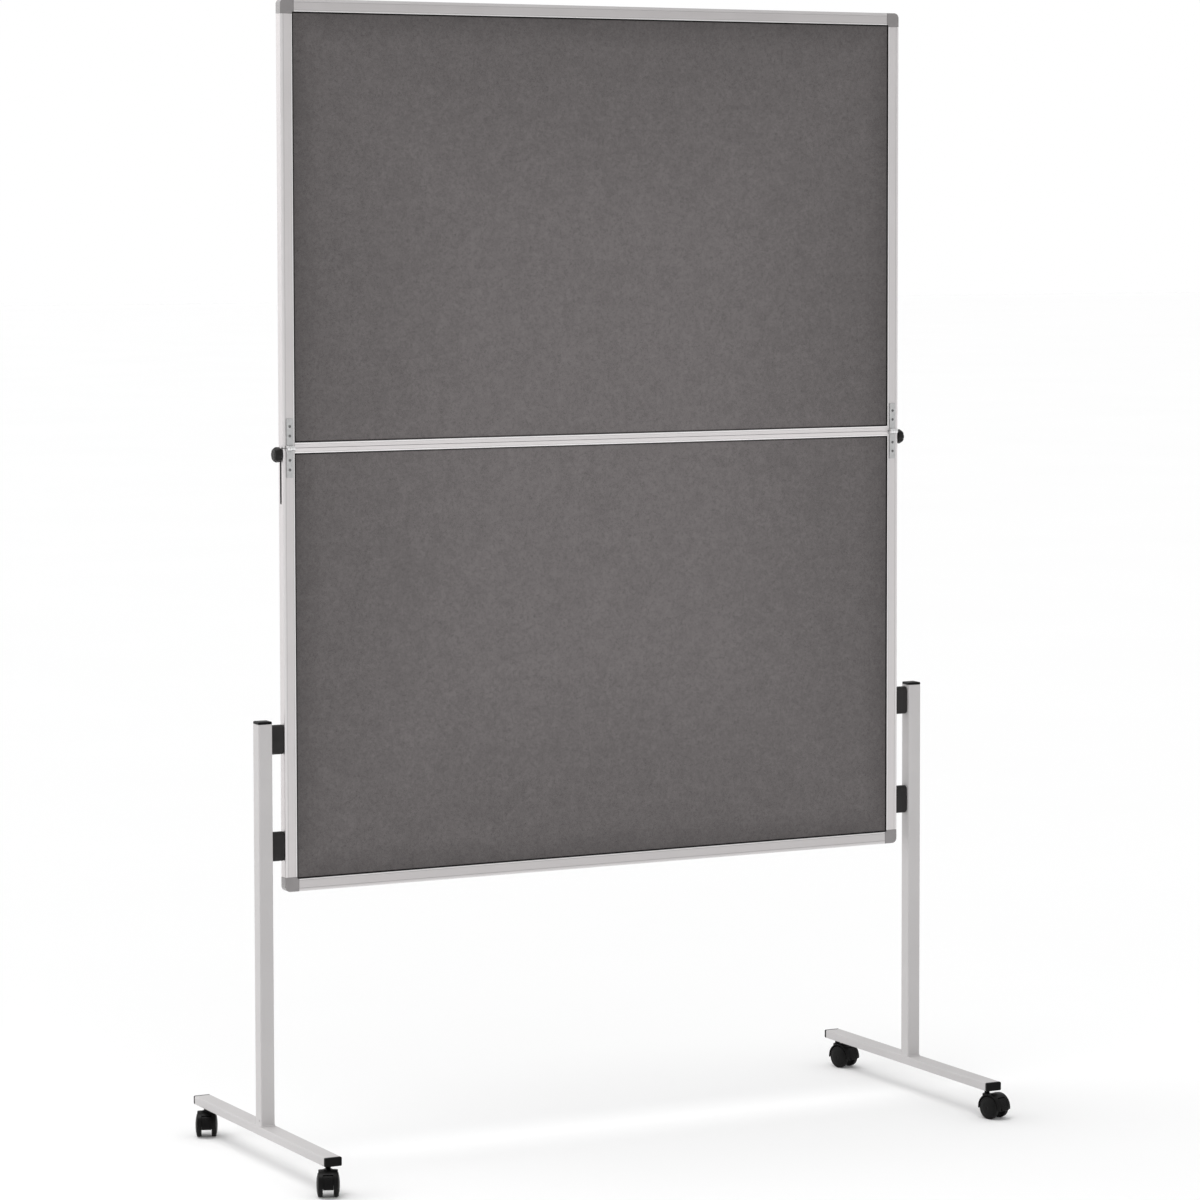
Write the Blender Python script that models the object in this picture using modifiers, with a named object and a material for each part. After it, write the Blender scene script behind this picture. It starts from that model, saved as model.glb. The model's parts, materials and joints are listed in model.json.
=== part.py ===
"""Folding pinboard on a wheeled stand, modelled in metres at its real size.

Frame: X to the right seen from the front, Y to the back, Z up. The origin is on the floor under the
middle of the board. The board is two felt-covered panels in aluminium frames. The upper panel folds
forward and down over the lower one, on two hinges at the split. A knob slides the lock bar in each
lower side rail.
"""

import math

import bmesh
import bpy
from mathutils import Matrix, Vector

MM = 0.001
FIT = 0.3 * MM  # clearance kept between pieces that touch

# Board
BOARD_WIDTH = 1200 * MM
PANEL_HEIGHT = 750 * MM
BOARD_BOTTOM = 460 * MM
SPLIT = BOARD_BOTTOM + PANEL_HEIGHT
BOARD_TOP = SPLIT + PANEL_HEIGHT
SPLIT_GAP = 1 * MM
SIDE = BOARD_WIDTH / 2

# Frame rails
FRAME_DEPTH = 20 * MM
FRONT = -FRAME_DEPTH / 2
RAIL_FACE = 21.5 * MM
RAIL_TUBE = 13.5 * MM
FOLD_RAIL_FACE = 8.5 * MM
FOLD_RAIL_TUBE = 4 * MM
RAIL_WALL = 1.7 * MM
RAIL_LIP = 1.5 * MM
RAIL_CHAMFER = 1 * MM
CORNER_SIZE = 24.5 * MM
CORNER_RADIUS = 9 * MM
CORNER_SPIGOT = 15 * MM

# Panel sandwich, as distances from the middle plane
CORE_HALF = 6.7 * MM
FELT_INNER = 7.0 * MM
FELT_OUTER = 8.2 * MM
FELT_HELD = 8.0 * MM  # where a rail's lip presses it

# Hinges at the split
HINGE_X = 588 * MM
HINGE_AXIS_Y = -14.9 * MM
BARREL_RADIUS = 4.5 * MM
BARREL_LENGTH = 14 * MM
PIN_RADIUS = 1.75 * MM
PIN_BORE_RADIUS = 2.1 * MM
LEAF_WIDTH = 12 * MM
LEAF_REACH = 50 * MM
LEAF_THICKNESS = 1.5 * MM
LEAF_START = 5 * MM

# Locks
KNOB_DROP = 11 * MM
KNOB_RADIUS = 13 * MM
KNOB_DEPTH = 14 * MM
KNOB_LOBES = 8
KNOB_LOBE_DEPTH = 0.9 * MM
STUD_RADIUS = 2.2 * MM
SLOT_WIDTH = 5 * MM
SLOT_TOP = 6 * MM
SLOT_BOTTOM = 95 * MM
LOCK_BAR_SIZE = Vector((3, 16, 140)) * MM
LOCK_BAR_INSET = 2.2 * MM

# Stand
UPRIGHT_X = 636 * MM
UPRIGHT_SIZE = 25 * MM
UPRIGHT_TOP = 747 * MM
UPRIGHT_CAP = 5 * MM
TUBE_WALL = 1.5 * MM
FOOT_WIDTH = 30 * MM
FOOT_HEIGHT = 15 * MM
FOOT_UNDERSIDE = 50 * MM
FOOT_LENGTH = 575 * MM
FOOT_CAP = 5.5 * MM
CAP_EDGE = 1.5 * MM
PLUG_DEPTH = 12 * MM
SPACER_HEIGHT = 50 * MM
SPACER_DEPTH = 16 * MM
SPACER_RADIUS = 7.5 * MM
SPACER_LEVELS = {"lower": 538 * MM, "upper": 719 * MM}

# Castors, in a frame with X along the trail, Y along the axle and Z up from the floor
CASTOR_Y = 264 * MM
CASTOR_TRAIL = 17 * MM
CASTOR_HEADING = {"left": math.radians(-113), "right": math.radians(-74)}
WHEEL_RADIUS = 20 * MM
WHEEL_INNER = 8.85 * MM
WHEEL_STEPS = 20
AXLE_RADIUS = 2.5 * MM
AXLE_REACH = 17.35 * MM
WEB_HALF = 8.5 * MM
WEB_RADIUS = 22.5 * MM
WEB_BOTTOM = 12 * MM
FENDER_HALF = 16 * MM
FENDER_INNER = 22 * MM
FENDER_OUTER = 25 * MM
FENDER_ARC = (-6, 186)
SOCKET_RADIUS = 8.2 * MM
SOCKET_BOTTOM = 24 * MM
SOCKET_TOP = 42 * MM
STEM_RADIUS = 4 * MM
STEM_BORE_RADIUS = 4.3 * MM
STEM_BORE_BOTTOM = 25.8 * MM
COLLAR_RADIUS = 5.3 * MM
PEDAL_HALF = 8.2 * MM
PEDAL_INNER = 22.2 * MM
PEDAL_ARC = (-7, 45)
PEDAL_POCKET_RADIUS = 21.2 * MM
PEDAL_POCKET_ARC = (-30, 50)
PEDAL_TIP_START = 7
PEDAL_TIP_RADIUS = 28 * MM
PEDAL_TIP_ANGLE = -5
PEDAL_PIVOT_RADIUS = 23.6 * MM
PEDAL_PIVOT_ANGLE = 41

# Name: colour, roughness, metallic
MATERIALS = {
    "anodised_aluminium": ((0.62, 0.62, 0.63, 1), 0.35, 1.0),
    "painted_steel": ((0.55, 0.54, 0.55, 1), 0.4, 0.0),
    "zinc_steel": ((0.58, 0.58, 0.60, 1), 0.3, 1.0),
    "grey_plastic": ((0.27, 0.26, 0.27, 1), 0.5, 0.0),
    "black_plastic": ((0.02, 0.02, 0.02, 1), 0.4, 0.0),
    "grey_felt": ((0.10, 0.095, 0.095, 1), 0.95, 0.0),
    "core_board": ((0.45, 0.36, 0.25, 1), 0.9, 0.0),
}


# ---------------------------------------------------------------- scene


def clear_scene():
    for obj in list(bpy.data.objects):
        bpy.data.objects.remove(obj, do_unlink=True)


def new_collection(name):
    collection = bpy.data.collections.new(name)
    bpy.context.scene.collection.children.link(collection)
    return collection


def new_material(name):
    colour, roughness, metallic = MATERIALS[name]
    material = bpy.data.materials.new(name)
    material.use_nodes = True
    shader = material.node_tree.nodes["Principled BSDF"]
    shader.inputs["Base Color"].default_value = colour
    shader.inputs["Roughness"].default_value = roughness
    shader.inputs["Metallic"].default_value = metallic
    material.diffuse_color = colour
    return material


def axis_empty(name, place):
    """An empty on a joint's axis, which the pieces that move with it hang from."""
    empty = bpy.data.objects.new(name, None)
    PARTS.objects.link(empty)
    empty.empty_display_size = 30 * MM
    set_place(empty, Matrix.Translation(place), None)
    return empty


def set_place(obj, matrix, parent):
    obj.parent = parent
    obj.matrix_local = parent.matrix_world.inverted() @ matrix if parent else matrix
    bpy.context.view_layer.update()


def add_part(name, mesh, material, matrix=None, parent=None):
    """One named piece. Its mesh is in world coordinates unless a matrix places it."""
    obj = bpy.data.objects.new(name, mesh)
    PARTS.objects.link(obj)
    if not mesh.materials:
        mesh.materials.append(SHADES[material])
    set_place(obj, matrix or Matrix(), parent)
    return obj


# ---------------------------------------------------------------- shapes


def arc(centre, radius, start, end, steps):
    """Points from one angle to another, in degrees, both ends included."""
    angles = (math.radians(start + (end - start) * i / steps) for i in range(steps + 1))
    return [(centre[0] + radius * math.cos(a), centre[1] + radius * math.sin(a)) for a in angles]


def rectangle(low, high):
    return [low, (high[0], low[1]), high, (low[0], high[1])]


def rounded_rectangle(low, high, radius, steps=4):
    corners = [
        ((high[0] - radius, high[1] - radius), 0),
        ((low[0] + radius, high[1] - radius), 90),
        ((low[0] + radius, low[1] + radius), 180),
        ((high[0] - radius, low[1] + radius), 270),
    ]
    return [point for centre, turn in corners for point in arc(centre, radius, turn, turn + 90, steps)]


def evaluated_mesh(obj):
    """The object's mesh with its modifiers applied and its loose caps welded. The object is removed."""
    bpy.context.scene.collection.objects.link(obj)
    graph = bpy.context.evaluated_depsgraph_get()
    mesh = bpy.data.meshes.new_from_object(obj.evaluated_get(graph))
    bpy.data.objects.remove(obj)
    work = bmesh.new()
    work.from_mesh(mesh)
    bmesh.ops.remove_doubles(work, verts=work.verts, dist=1e-6)
    bmesh.ops.recalc_face_normals(work, faces=work.faces)
    work.to_mesh(mesh)
    work.free()
    return mesh


def prism(loops, axis, start, end):
    """A flat outline with its holes, extruded along X, Y or Z. Its points are (y, z), (x, z) or (x, y)."""
    curve = bpy.data.curves.new("outline", "CURVE")
    curve.dimensions = "2D"
    curve.fill_mode = "BOTH"
    curve.extrude = (end - start) / 2
    for loop in loops:
        spline = curve.splines.new("POLY")
        spline.points.add(len(loop) - 1)
        spline.use_cyclic_u = True
        for point, (across, up) in zip(spline.points, loop):
            point.co = (across, up, 0, 1)
    mesh = evaluated_mesh(bpy.data.objects.new("outline", curve))
    columns = {"X": ("Y", "Z", "X"), "Y": ("X", "Z", "-Y"), "Z": ("X", "Y", "Z")}[axis]
    turn = Matrix([signed_axis(name) for name in columns]).transposed().to_4x4()
    middle = signed_axis(axis) * (start + end) / 2
    mesh.transform(Matrix.Translation(middle) @ turn)
    return mesh


def signed_axis(name):
    """The unit vector that a name such as X or -Y stands for."""
    sign = -1 if name.startswith("-") else 1
    return sign * Vector([float(letter == name[-1]) for letter in "XYZ"])


def box(low, high):
    work = bmesh.new()
    bmesh.ops.create_cube(work, size=1)
    size = Vector(high) - Vector(low)
    bmesh.ops.scale(work, vec=size, verts=work.verts)
    bmesh.ops.translate(work, vec=(Vector(low) + Vector(high)) / 2, verts=work.verts)
    return finished(work)


def cylinder(radius, low, high, steps=16):
    """A round bar between two points."""
    along = Vector(high) - Vector(low)
    work = bmesh.new()
    bmesh.ops.create_cone(
        work, cap_ends=True, segments=steps, radius1=radius, radius2=radius, depth=along.length
    )
    turn = Vector((0, 0, 1)).rotation_difference(along).to_matrix().to_4x4()
    bmesh.ops.transform(
        work, matrix=Matrix.Translation((Vector(low) + Vector(high)) / 2) @ turn, verts=work.verts
    )
    return finished(work)


def finished(work):
    mesh = bpy.data.meshes.new("solid")
    work.to_mesh(mesh)
    work.free()
    return mesh


def turned(profile, steps, scallop=None):
    """A profile of (radius, height) points turned about Z. A scallop function may then move its vertices."""
    outline = bpy.data.meshes.new("profile")
    points = [(radius, 0, height) for radius, height in profile]
    edges = [(i, i + 1) for i in range(len(profile) - 1)]
    outline.from_pydata(points, edges, [])
    obj = bpy.data.objects.new("profile", outline)
    screw = obj.modifiers.new("turn", "SCREW")
    screw.steps = screw.render_steps = steps
    screw.use_merge_vertices = True
    screw.merge_threshold = 1e-6
    mesh = evaluated_mesh(obj)
    if scallop:
        for vertex in mesh.vertices:
            scallop(vertex)
    return mesh


def combined(base, *steps):
    """The base mesh after Boolean steps, each an operation and the mesh that it takes."""
    obj = bpy.data.objects.new("base", base)
    tools = []
    for operation, mesh in steps:
        tool = bpy.data.objects.new("tool", mesh)
        bpy.context.scene.collection.objects.link(tool)
        tools.append(tool)
        modifier = obj.modifiers.new(operation, "BOOLEAN")
        modifier.operation = operation
        modifier.object = tool
    result = evaluated_mesh(obj)
    for tool in tools:
        bpy.data.objects.remove(tool)
    return result


def smooth(mesh, degrees=35):
    mesh.shade_smooth()
    mesh.set_sharp_from_angle(angle=math.radians(degrees))
    return mesh


# ---------------------------------------------------------------- board


def rail_section(outer, inward, face, tube, hollow):
    """A rail's section as (across, depth) points: a tube at the outer edge and two lips that hold a panel."""
    half, groove = FRAME_DEPTH / 2, FRAME_DEPTH / 2 - RAIL_LIP
    shape = [
        (RAIL_CHAMFER, -half),
        (face, -half),
        (face, -groove),
        (tube, -groove),
        (tube, groove),
        (face, groove),
        (face, half),
        (RAIL_CHAMFER, half),
        (0, half - RAIL_CHAMFER),
        (0, RAIL_CHAMFER - half),
    ]
    chamber = rectangle((RAIL_WALL, RAIL_WALL - half), (tube - RAIL_WALL, half - RAIL_WALL))
    loops = [shape, chamber] if hollow else [shape]
    return [[(outer + inward * across, depth) for across, depth in loop] for loop in loops]


def swapped(loops):
    return [[(depth, across) for across, depth in loop] for loop in loops]


def side_rail(side, low, high):
    return prism(rail_section(side * SIDE, -side, RAIL_FACE, RAIL_TUBE, True), "Z", low, high)


def end_rail(outer, inward):
    reach = SIDE - CORNER_SIZE - FIT
    return prism(swapped(rail_section(outer, inward, RAIL_FACE, RAIL_TUBE, True)), "X", -reach, reach)


def fold_rail(outer, inward):
    reach = SIDE - RAIL_FACE - FIT
    section = rail_section(outer, inward, FOLD_RAIL_FACE, FOLD_RAIL_TUBE, False)
    return prism(swapped(section), "X", -reach, reach)


def lock_slot(side):
    """The cutter for the knob's slot, through the outer wall of a lower side rail."""
    half = SLOT_WIDTH / 2
    shape = rounded_rectangle((-half, SPLIT - SLOT_BOTTOM), (half, SPLIT - SLOT_TOP), half - 1e-5)
    ends = sorted((side * (SIDE - RAIL_WALL - 1 * MM), side * (SIDE + 1 * MM)))
    return prism([shape], "X", *ends)


def corner_cap(side, edge, inward):
    """A plastic corner that follows both rails, with a groove for the panel and a spigot into each rail."""
    rim, half, groove = CORNER_RADIUS, FRAME_DEPTH / 2, FRAME_DEPTH / 2 - RAIL_LIP
    far = CORNER_SIZE + 1 * MM
    spigot = (RAIL_WALL + FIT, RAIL_TUBE - RAIL_WALL - FIT)
    spigot_half = half - RAIL_WALL - FIT
    spigot_start, spigot_end = CORNER_SIZE - 1 * MM, CORNER_SIZE + CORNER_SPIGOT

    def at(across, depth, up):
        return (side * (SIDE - across), depth, edge + inward * up)

    def block(low, high):
        a, b = at(*low), at(*high)
        return box([min(p) for p in zip(a, b)], [max(p) for p in zip(a, b)])

    inner_corners = [
        (CORNER_SIZE, 0),
        (CORNER_SIZE, RAIL_FACE),
        (RAIL_FACE, RAIL_FACE),
        (RAIL_FACE, CORNER_SIZE),
        (0, CORNER_SIZE),
    ]
    shape = arc((rim, rim), rim, 180, 270, 5) + inner_corners
    outline = [(at(across, 0, up)[0], at(across, 0, up)[2]) for across, up in shape]
    return combined(
        prism([outline], "Y", -half, half),
        ("DIFFERENCE", block((RAIL_TUBE, -groove, RAIL_TUBE), (far, groove, far))),
        ("UNION", block((spigot_start, -spigot_half, spigot[0]), (spigot_end, spigot_half, spigot[1]))),
        ("UNION", block((spigot[0], -spigot_half, spigot_start), (spigot[1], spigot_half, spigot_end))),
    )


def felt(out, low, high, field):
    """A felt sheet on one face of the core. It stands fuller in the open field than under the rails' lips."""
    half = SIDE - RAIL_TUBE - FIT
    open_half = SIDE - RAIL_FACE - FIT
    steps = ((half, low, high, FELT_HELD), (open_half, *field, FELT_OUTER))
    slabs = []
    for reach, bottom, top, outer in steps:
        front, back = sorted((out * FELT_INNER, out * outer))
        slabs.append(box((-reach, front, bottom), (reach, back, top)))
    return combined(slabs[0], ("UNION", slabs[1]))


def panel_sheets(name, low, high, field, parent):
    """The core board and its felt faces, held in the rails' grooves. The field is open between the lips."""
    reach = SIDE - RAIL_TUBE - FIT
    core = box((-reach, -CORE_HALF, low), (reach, CORE_HALF, high))
    add_part(f"{name}_core", core, "core_board", parent=parent)
    for face, out in (("front", -1), ("back", 1)):
        add_part(f"{name}_felt_{face}", felt(out, low, high, field), "grey_felt", parent=parent)


def lower_panel(parent):
    top = SPLIT - SPLIT_GAP / 2
    fold_inner = top - FOLD_RAIL_TUBE - FIT
    field = (BOARD_BOTTOM + RAIL_FACE + FIT, top - FOLD_RAIL_FACE - FIT)
    panel_sheets("lower", BOARD_BOTTOM + RAIL_TUBE + FIT, fold_inner, field, parent)
    for name, side in SIDES.items():
        rail = side_rail(side, BOARD_BOTTOM + CORNER_SIZE + FIT, top)
        rail = combined(rail, ("DIFFERENCE", lock_slot(side)))
        add_part(f"lower_rail_{name}", rail, "anodised_aluminium", parent=parent)
        add_part(f"corner_cap_lower_{name}", corner_cap(side, BOARD_BOTTOM, 1), "grey_plastic", parent=parent)
    add_part("lower_rail_bottom", end_rail(BOARD_BOTTOM, 1), "anodised_aluminium", parent=parent)
    add_part("lower_fold_rail", fold_rail(top, -1), "anodised_aluminium", parent=parent)


def upper_panel(parent):
    bottom = SPLIT + SPLIT_GAP / 2
    fold_inner = bottom + FOLD_RAIL_TUBE + FIT
    field = (bottom + FOLD_RAIL_FACE + FIT, BOARD_TOP - RAIL_FACE - FIT)
    panel_sheets("upper", fold_inner, BOARD_TOP - RAIL_TUBE - FIT, field, parent)
    for name, side in SIDES.items():
        rail = side_rail(side, bottom, BOARD_TOP - CORNER_SIZE - FIT)
        add_part(f"upper_rail_{name}", rail, "anodised_aluminium", parent=parent)
        add_part(f"corner_cap_upper_{name}", corner_cap(side, BOARD_TOP, -1), "grey_plastic", parent=parent)
    add_part("upper_rail_top", end_rail(BOARD_TOP, -1), "anodised_aluminium", parent=parent)
    add_part("upper_fold_rail", fold_rail(bottom, 1), "anodised_aluminium", parent=parent)


# ---------------------------------------------------------------- hinges


def leaf_plate(side, direction, start, end, low_x, high_x):
    back = FRONT - FIT
    levels = sorted((SPLIT + direction * start, SPLIT + direction * end))
    ends = sorted((side * low_x, side * high_x))
    return box((ends[0], back - LEAF_THICKNESS, levels[0]), (ends[1], back, levels[1]))


def knuckle(side, direction, low_x, high_x):
    """A knuckle's barrel, and the tab that joins it to its leaf."""
    ends = [(side * x, HINGE_AXIS_Y, SPLIT) for x in (low_x, high_x)]
    barrel = cylinder(BARREL_RADIUS, *ends)
    tab_reach = min(high_x, HINGE_X + LEAF_WIDTH / 2)
    tab = leaf_plate(side, direction, 0, LEAF_START + 1 * MM, low_x, tab_reach)
    return [("UNION", barrel), ("UNION", tab)]


def leaf(side, direction, knuckles, last_steps):
    half = LEAF_WIDTH / 2
    plate = leaf_plate(side, direction, LEAF_START, LEAF_REACH, HINGE_X - half, HINGE_X + half)
    steps = [step for ends in knuckles for step in knuckle(side, direction, *ends)]
    return combined(plate, *steps, *last_steps)


def hinge(name, side, root, upper):
    """The lower leaf has the outer knuckles and the pin, and the upper leaf has the middle knuckle."""
    third = BARREL_LENGTH / 3
    start = HINGE_X - BARREL_LENGTH / 2
    outer = [(start, start + third - FIT), (start + 2 * third + FIT, start + 3 * third)]
    middle = [(start + third, start + 2 * third)]
    pin_ends = [(side * x, HINGE_AXIS_Y, SPLIT) for x in (start + 1 * MM, start + 3 * third - 1 * MM)]
    pin = [("UNION", cylinder(PIN_RADIUS, *pin_ends, steps=12))]
    bore = [("DIFFERENCE", cylinder(PIN_BORE_RADIUS, *pin_ends, steps=12))]
    lower_leaf = leaf(side, -1, outer, pin)
    upper_leaf = leaf(side, 1, middle, bore)
    add_part(f"hinge_lower_leaf_{name}", smooth(lower_leaf), "zinc_steel", parent=root)
    add_part(f"hinge_upper_leaf_{name}", smooth(upper_leaf), "zinc_steel", parent=upper)


# ---------------------------------------------------------------- locks


def knob_mesh():
    """A lobed knob with its stud, turned about Z. The knob stands above z = 0 and the stud runs below it."""
    stud_end = -(LOCK_BAR_INSET + LOCK_BAR_SIZE.x)
    profile = [
        (0, KNOB_DEPTH),
        (0.7 * KNOB_RADIUS, KNOB_DEPTH - 0.5 * MM),
        (0.93 * KNOB_RADIUS, KNOB_DEPTH - 3 * MM),
        (KNOB_RADIUS, KNOB_DEPTH - 6.5 * MM),
        (0.96 * KNOB_RADIUS, 2.5 * MM),
        (0.55 * KNOB_RADIUS, 0.6 * MM),
        (STUD_RADIUS, 0.6 * MM),
        (STUD_RADIUS, stud_end),
        (0, stud_end),
    ]

    def scallop(vertex):
        radius = math.hypot(vertex.co.x, vertex.co.y)
        if radius < 0.9 * KNOB_RADIUS:
            return
        turn = math.atan2(vertex.co.y, vertex.co.x) * KNOB_LOBES
        factor = 1 - KNOB_LOBE_DEPTH * (1 - math.cos(turn)) / 2 / radius
        vertex.co.x *= factor
        vertex.co.y *= factor

    return smooth(turned(profile, 2 * KNOB_LOBES, scallop))


def lock_bar(side):
    """A flat bar inside the rail's chamber, with a hole for the knob's stud."""
    x = side * (SIDE - LOCK_BAR_INSET - LOCK_BAR_SIZE.x / 2)
    top = SPLIT - SPLIT_GAP / 2
    low = Vector((x - LOCK_BAR_SIZE.x / 2, -LOCK_BAR_SIZE.y / 2, top - LOCK_BAR_SIZE.z))
    stud_level = SPLIT - KNOB_DROP
    hole = cylinder(STUD_RADIUS + FIT, (x - 5 * MM, 0, stud_level), (x + 5 * MM, 0, stud_level), steps=12)
    return combined(box(low, low + LOCK_BAR_SIZE), ("DIFFERENCE", hole))


def lock(name, side, parent):
    bar = add_part(f"lock_bar_{name}", lock_bar(side), "zinc_steel", parent=parent)
    outward = Matrix.Rotation(side * math.pi / 2, 4, "Y")
    place = Matrix.Translation((side * SIDE, 0, SPLIT - KNOB_DROP)) @ outward
    add_part(f"lock_knob_{name}", knob_mesh(), "black_plastic", place, bar)


# ---------------------------------------------------------------- stand


def square_tube(low, high, wall):
    inner = rectangle((low[0] + wall, low[1] + wall), (high[0] - wall, high[1] - wall))
    return [rectangle(low, high), inner]


def upright(name, side, parent):
    half = UPRIGHT_SIZE / 2
    x = side * UPRIGHT_X
    bottom = FOOT_UNDERSIDE + FOOT_HEIGHT + FIT
    tube = prism(square_tube((x - half, -half), (x + half, half), TUBE_WALL), "Z", bottom, UPRIGHT_TOP)
    add_part(f"upright_{name}", tube, "painted_steel", parent=parent)
    plug = half - TUBE_WALL - FIT
    head = box((x - half, -half, UPRIGHT_TOP + FIT), (x + half, half, UPRIGHT_TOP + UPRIGHT_CAP))
    spigot = box((x - plug, -plug, UPRIGHT_TOP - PLUG_DEPTH), (x + plug, plug, UPRIGHT_TOP + 1 * MM))
    add_part(f"upright_cap_{name}", combined(head, ("UNION", spigot)), "black_plastic", parent=parent)


def foot_section(side):
    """The lowest and highest (x, z) corners of a foot's section."""
    x = side * UPRIGHT_X
    return (x - FOOT_WIDTH / 2, FOOT_UNDERSIDE), (x + FOOT_WIDTH / 2, FOOT_UNDERSIDE + FOOT_HEIGHT)


def foot(name, side, parent):
    """A flat tube along Y, with a hole in its lower wall for each castor's stem."""
    x = side * UPRIGHT_X
    reach = FOOT_LENGTH / 2 - FOOT_CAP - FIT
    tube = prism(square_tube(*foot_section(side), TUBE_WALL), "Y", -reach, reach)
    hole_bottom, hole_top = FOOT_UNDERSIDE - 1 * MM, FOOT_UNDERSIDE + TUBE_WALL + 1 * MM
    holes = [cylinder(STEM_BORE_RADIUS, (x, y, hole_bottom), (x, y, hole_top)) for y in (-CASTOR_Y, CASTOR_Y)]
    tube = combined(tube, *[("DIFFERENCE", hole) for hole in holes])
    add_part(f"foot_{name}", tube, "painted_steel", parent=parent)


def foot_cap(name, side, end, parent):
    low, high = foot_section(side)
    outer, inset = FOOT_LENGTH / 2, TUBE_WALL + FIT
    ends = sorted((end * outer, end * (outer - FOOT_CAP)))
    head = prism([rounded_rectangle(low, high, CAP_EDGE, 2)], "Y", *ends)
    depths = sorted((end * (outer - FOOT_CAP - PLUG_DEPTH), end * (outer - FOOT_CAP + 1 * MM)))
    spigot = box((low[0] + inset, depths[0], low[1] + inset), (high[0] - inset, depths[1], high[1] - inset))
    add_part(f"foot_cap_{name}", combined(head, ("UNION", spigot)), "black_plastic", parent=parent)


def spacer(name, side, level, parent):
    """A rounded block that joins an upright to the lower panel's side rail."""
    low = (-SPACER_DEPTH / 2, level - SPACER_HEIGHT / 2)
    high = (SPACER_DEPTH / 2, level + SPACER_HEIGHT / 2)
    ends = sorted((side * (SIDE + FIT), side * (UPRIGHT_X - UPRIGHT_SIZE / 2 - FIT)))
    block = prism([rounded_rectangle(low, high, SPACER_RADIUS)], "X", *ends)
    add_part(f"spacer_{name}", smooth(block), "black_plastic", parent=parent)


# ---------------------------------------------------------------- castors


def axle_point(radius, angle):
    """The point at a radius and an angle in degrees about the wheels' axle, as (along the trail, up)."""
    return arc((CASTOR_TRAIL, WHEEL_RADIUS), radius, angle, angle, 1)[0]


def around_axle(radius, start, end, steps):
    return arc((CASTOR_TRAIL, WHEEL_RADIUS), radius, start, end, steps)


def hood_mesh():
    """The castor's body: a web between the wheels, a fender over them, the stem's socket, the axle stubs."""
    dip = math.degrees(math.asin((WEB_BOTTOM - WHEEL_RADIUS) / WEB_RADIUS))
    web = prism([around_axle(WEB_RADIUS, dip, 180 - dip, 14)], "Y", -WEB_HALF, WEB_HALF)
    start, end = FENDER_ARC
    band = around_axle(FENDER_OUTER, start, end, 12) + around_axle(FENDER_INNER, end, start, 12)
    pocket_start, pocket_end = PEDAL_POCKET_ARC
    pocket = around_axle(FENDER_OUTER + 2 * MM, pocket_start, pocket_end, 4)
    pocket += around_axle(PEDAL_POCKET_RADIUS, pocket_end, pocket_start, 4)
    pocket_half = WEB_HALF + 0.1 * MM
    axle_ends = [(CASTOR_TRAIL, reach, WHEEL_RADIUS) for reach in (-AXLE_REACH, AXLE_REACH)]
    hood = combined(
        web,
        ("UNION", prism([band], "Y", -FENDER_HALF, FENDER_HALF)),
        ("DIFFERENCE", prism([pocket], "Y", -pocket_half, pocket_half)),
        ("UNION", cylinder(SOCKET_RADIUS, (0, 0, SOCKET_BOTTOM), (0, 0, SOCKET_TOP))),
        ("UNION", cylinder(AXLE_RADIUS, *axle_ends, steps=12)),
        ("DIFFERENCE", cylinder(STEM_BORE_RADIUS, (0, 0, STEM_BORE_BOTTOM), (0, 0, SOCKET_TOP + 5 * MM))),
    )
    return smooth(hood)


def stem_mesh():
    """The swivel stem: its top is in the foot, its collar bears on it, and its pin turns in the hood."""
    foot_inside = FOOT_UNDERSIDE + FOOT_HEIGHT - TUBE_WALL - 1.5 * MM
    collar_top = FOOT_UNDERSIDE - FIT
    collar_bottom = SOCKET_TOP + FIT
    pin_bottom = STEM_BORE_BOTTOM + FIT
    profile = [
        (0, foot_inside),
        (STEM_RADIUS, foot_inside),
        (STEM_RADIUS, collar_top),
        (COLLAR_RADIUS, collar_top),
        (COLLAR_RADIUS, collar_bottom),
        (STEM_RADIUS, collar_bottom),
        (STEM_RADIUS, pin_bottom),
        (0, pin_bottom),
    ]
    return smooth(turned(profile, 16))


def wheel_mesh():
    """A wheel about Z, with its inner face at z = 0, a blind bore and a domed outer face.

    The flats of its tread are at the wheel's radius, so that it stands on one of them.
    """
    tread = WHEEL_RADIUS / math.cos(math.pi / WHEEL_STEPS)
    bore = AXLE_RADIUS + FIT
    profile = [
        (0, 9 * MM),
        (bore, 9 * MM),
        (bore, 0),
        (tread - 1.4 * MM, 0),
        (tread, 1.4 * MM),
        (tread, 6.2 * MM),
        (tread - 1.4 * MM, 8.2 * MM),
        (0.55 * tread, 9.9 * MM),
        (0, 10.4 * MM),
    ]
    mesh = turned(profile, WHEEL_STEPS)
    mesh.transform(Matrix.Rotation(math.pi / WHEEL_STEPS, 4, "Z"))
    return smooth(mesh)


def pedal_mesh():
    """A curved brake pedal that continues the fender between the wheels and ends in a raised lip."""
    start, end = PEDAL_ARC
    outline = around_axle(FENDER_OUTER, end, PEDAL_TIP_START, 5)
    outline += [axle_point(PEDAL_TIP_RADIUS, PEDAL_TIP_ANGLE)]
    outline += around_axle(PEDAL_INNER, start, end, 5)
    mesh = prism([outline], "Y", -PEDAL_HALF, PEDAL_HALF)
    along, up = axle_point(PEDAL_PIVOT_RADIUS, PEDAL_PIVOT_ANGLE)
    mesh.transform(Matrix.Translation((-along, 0, -up)))
    return smooth(mesh)


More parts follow.
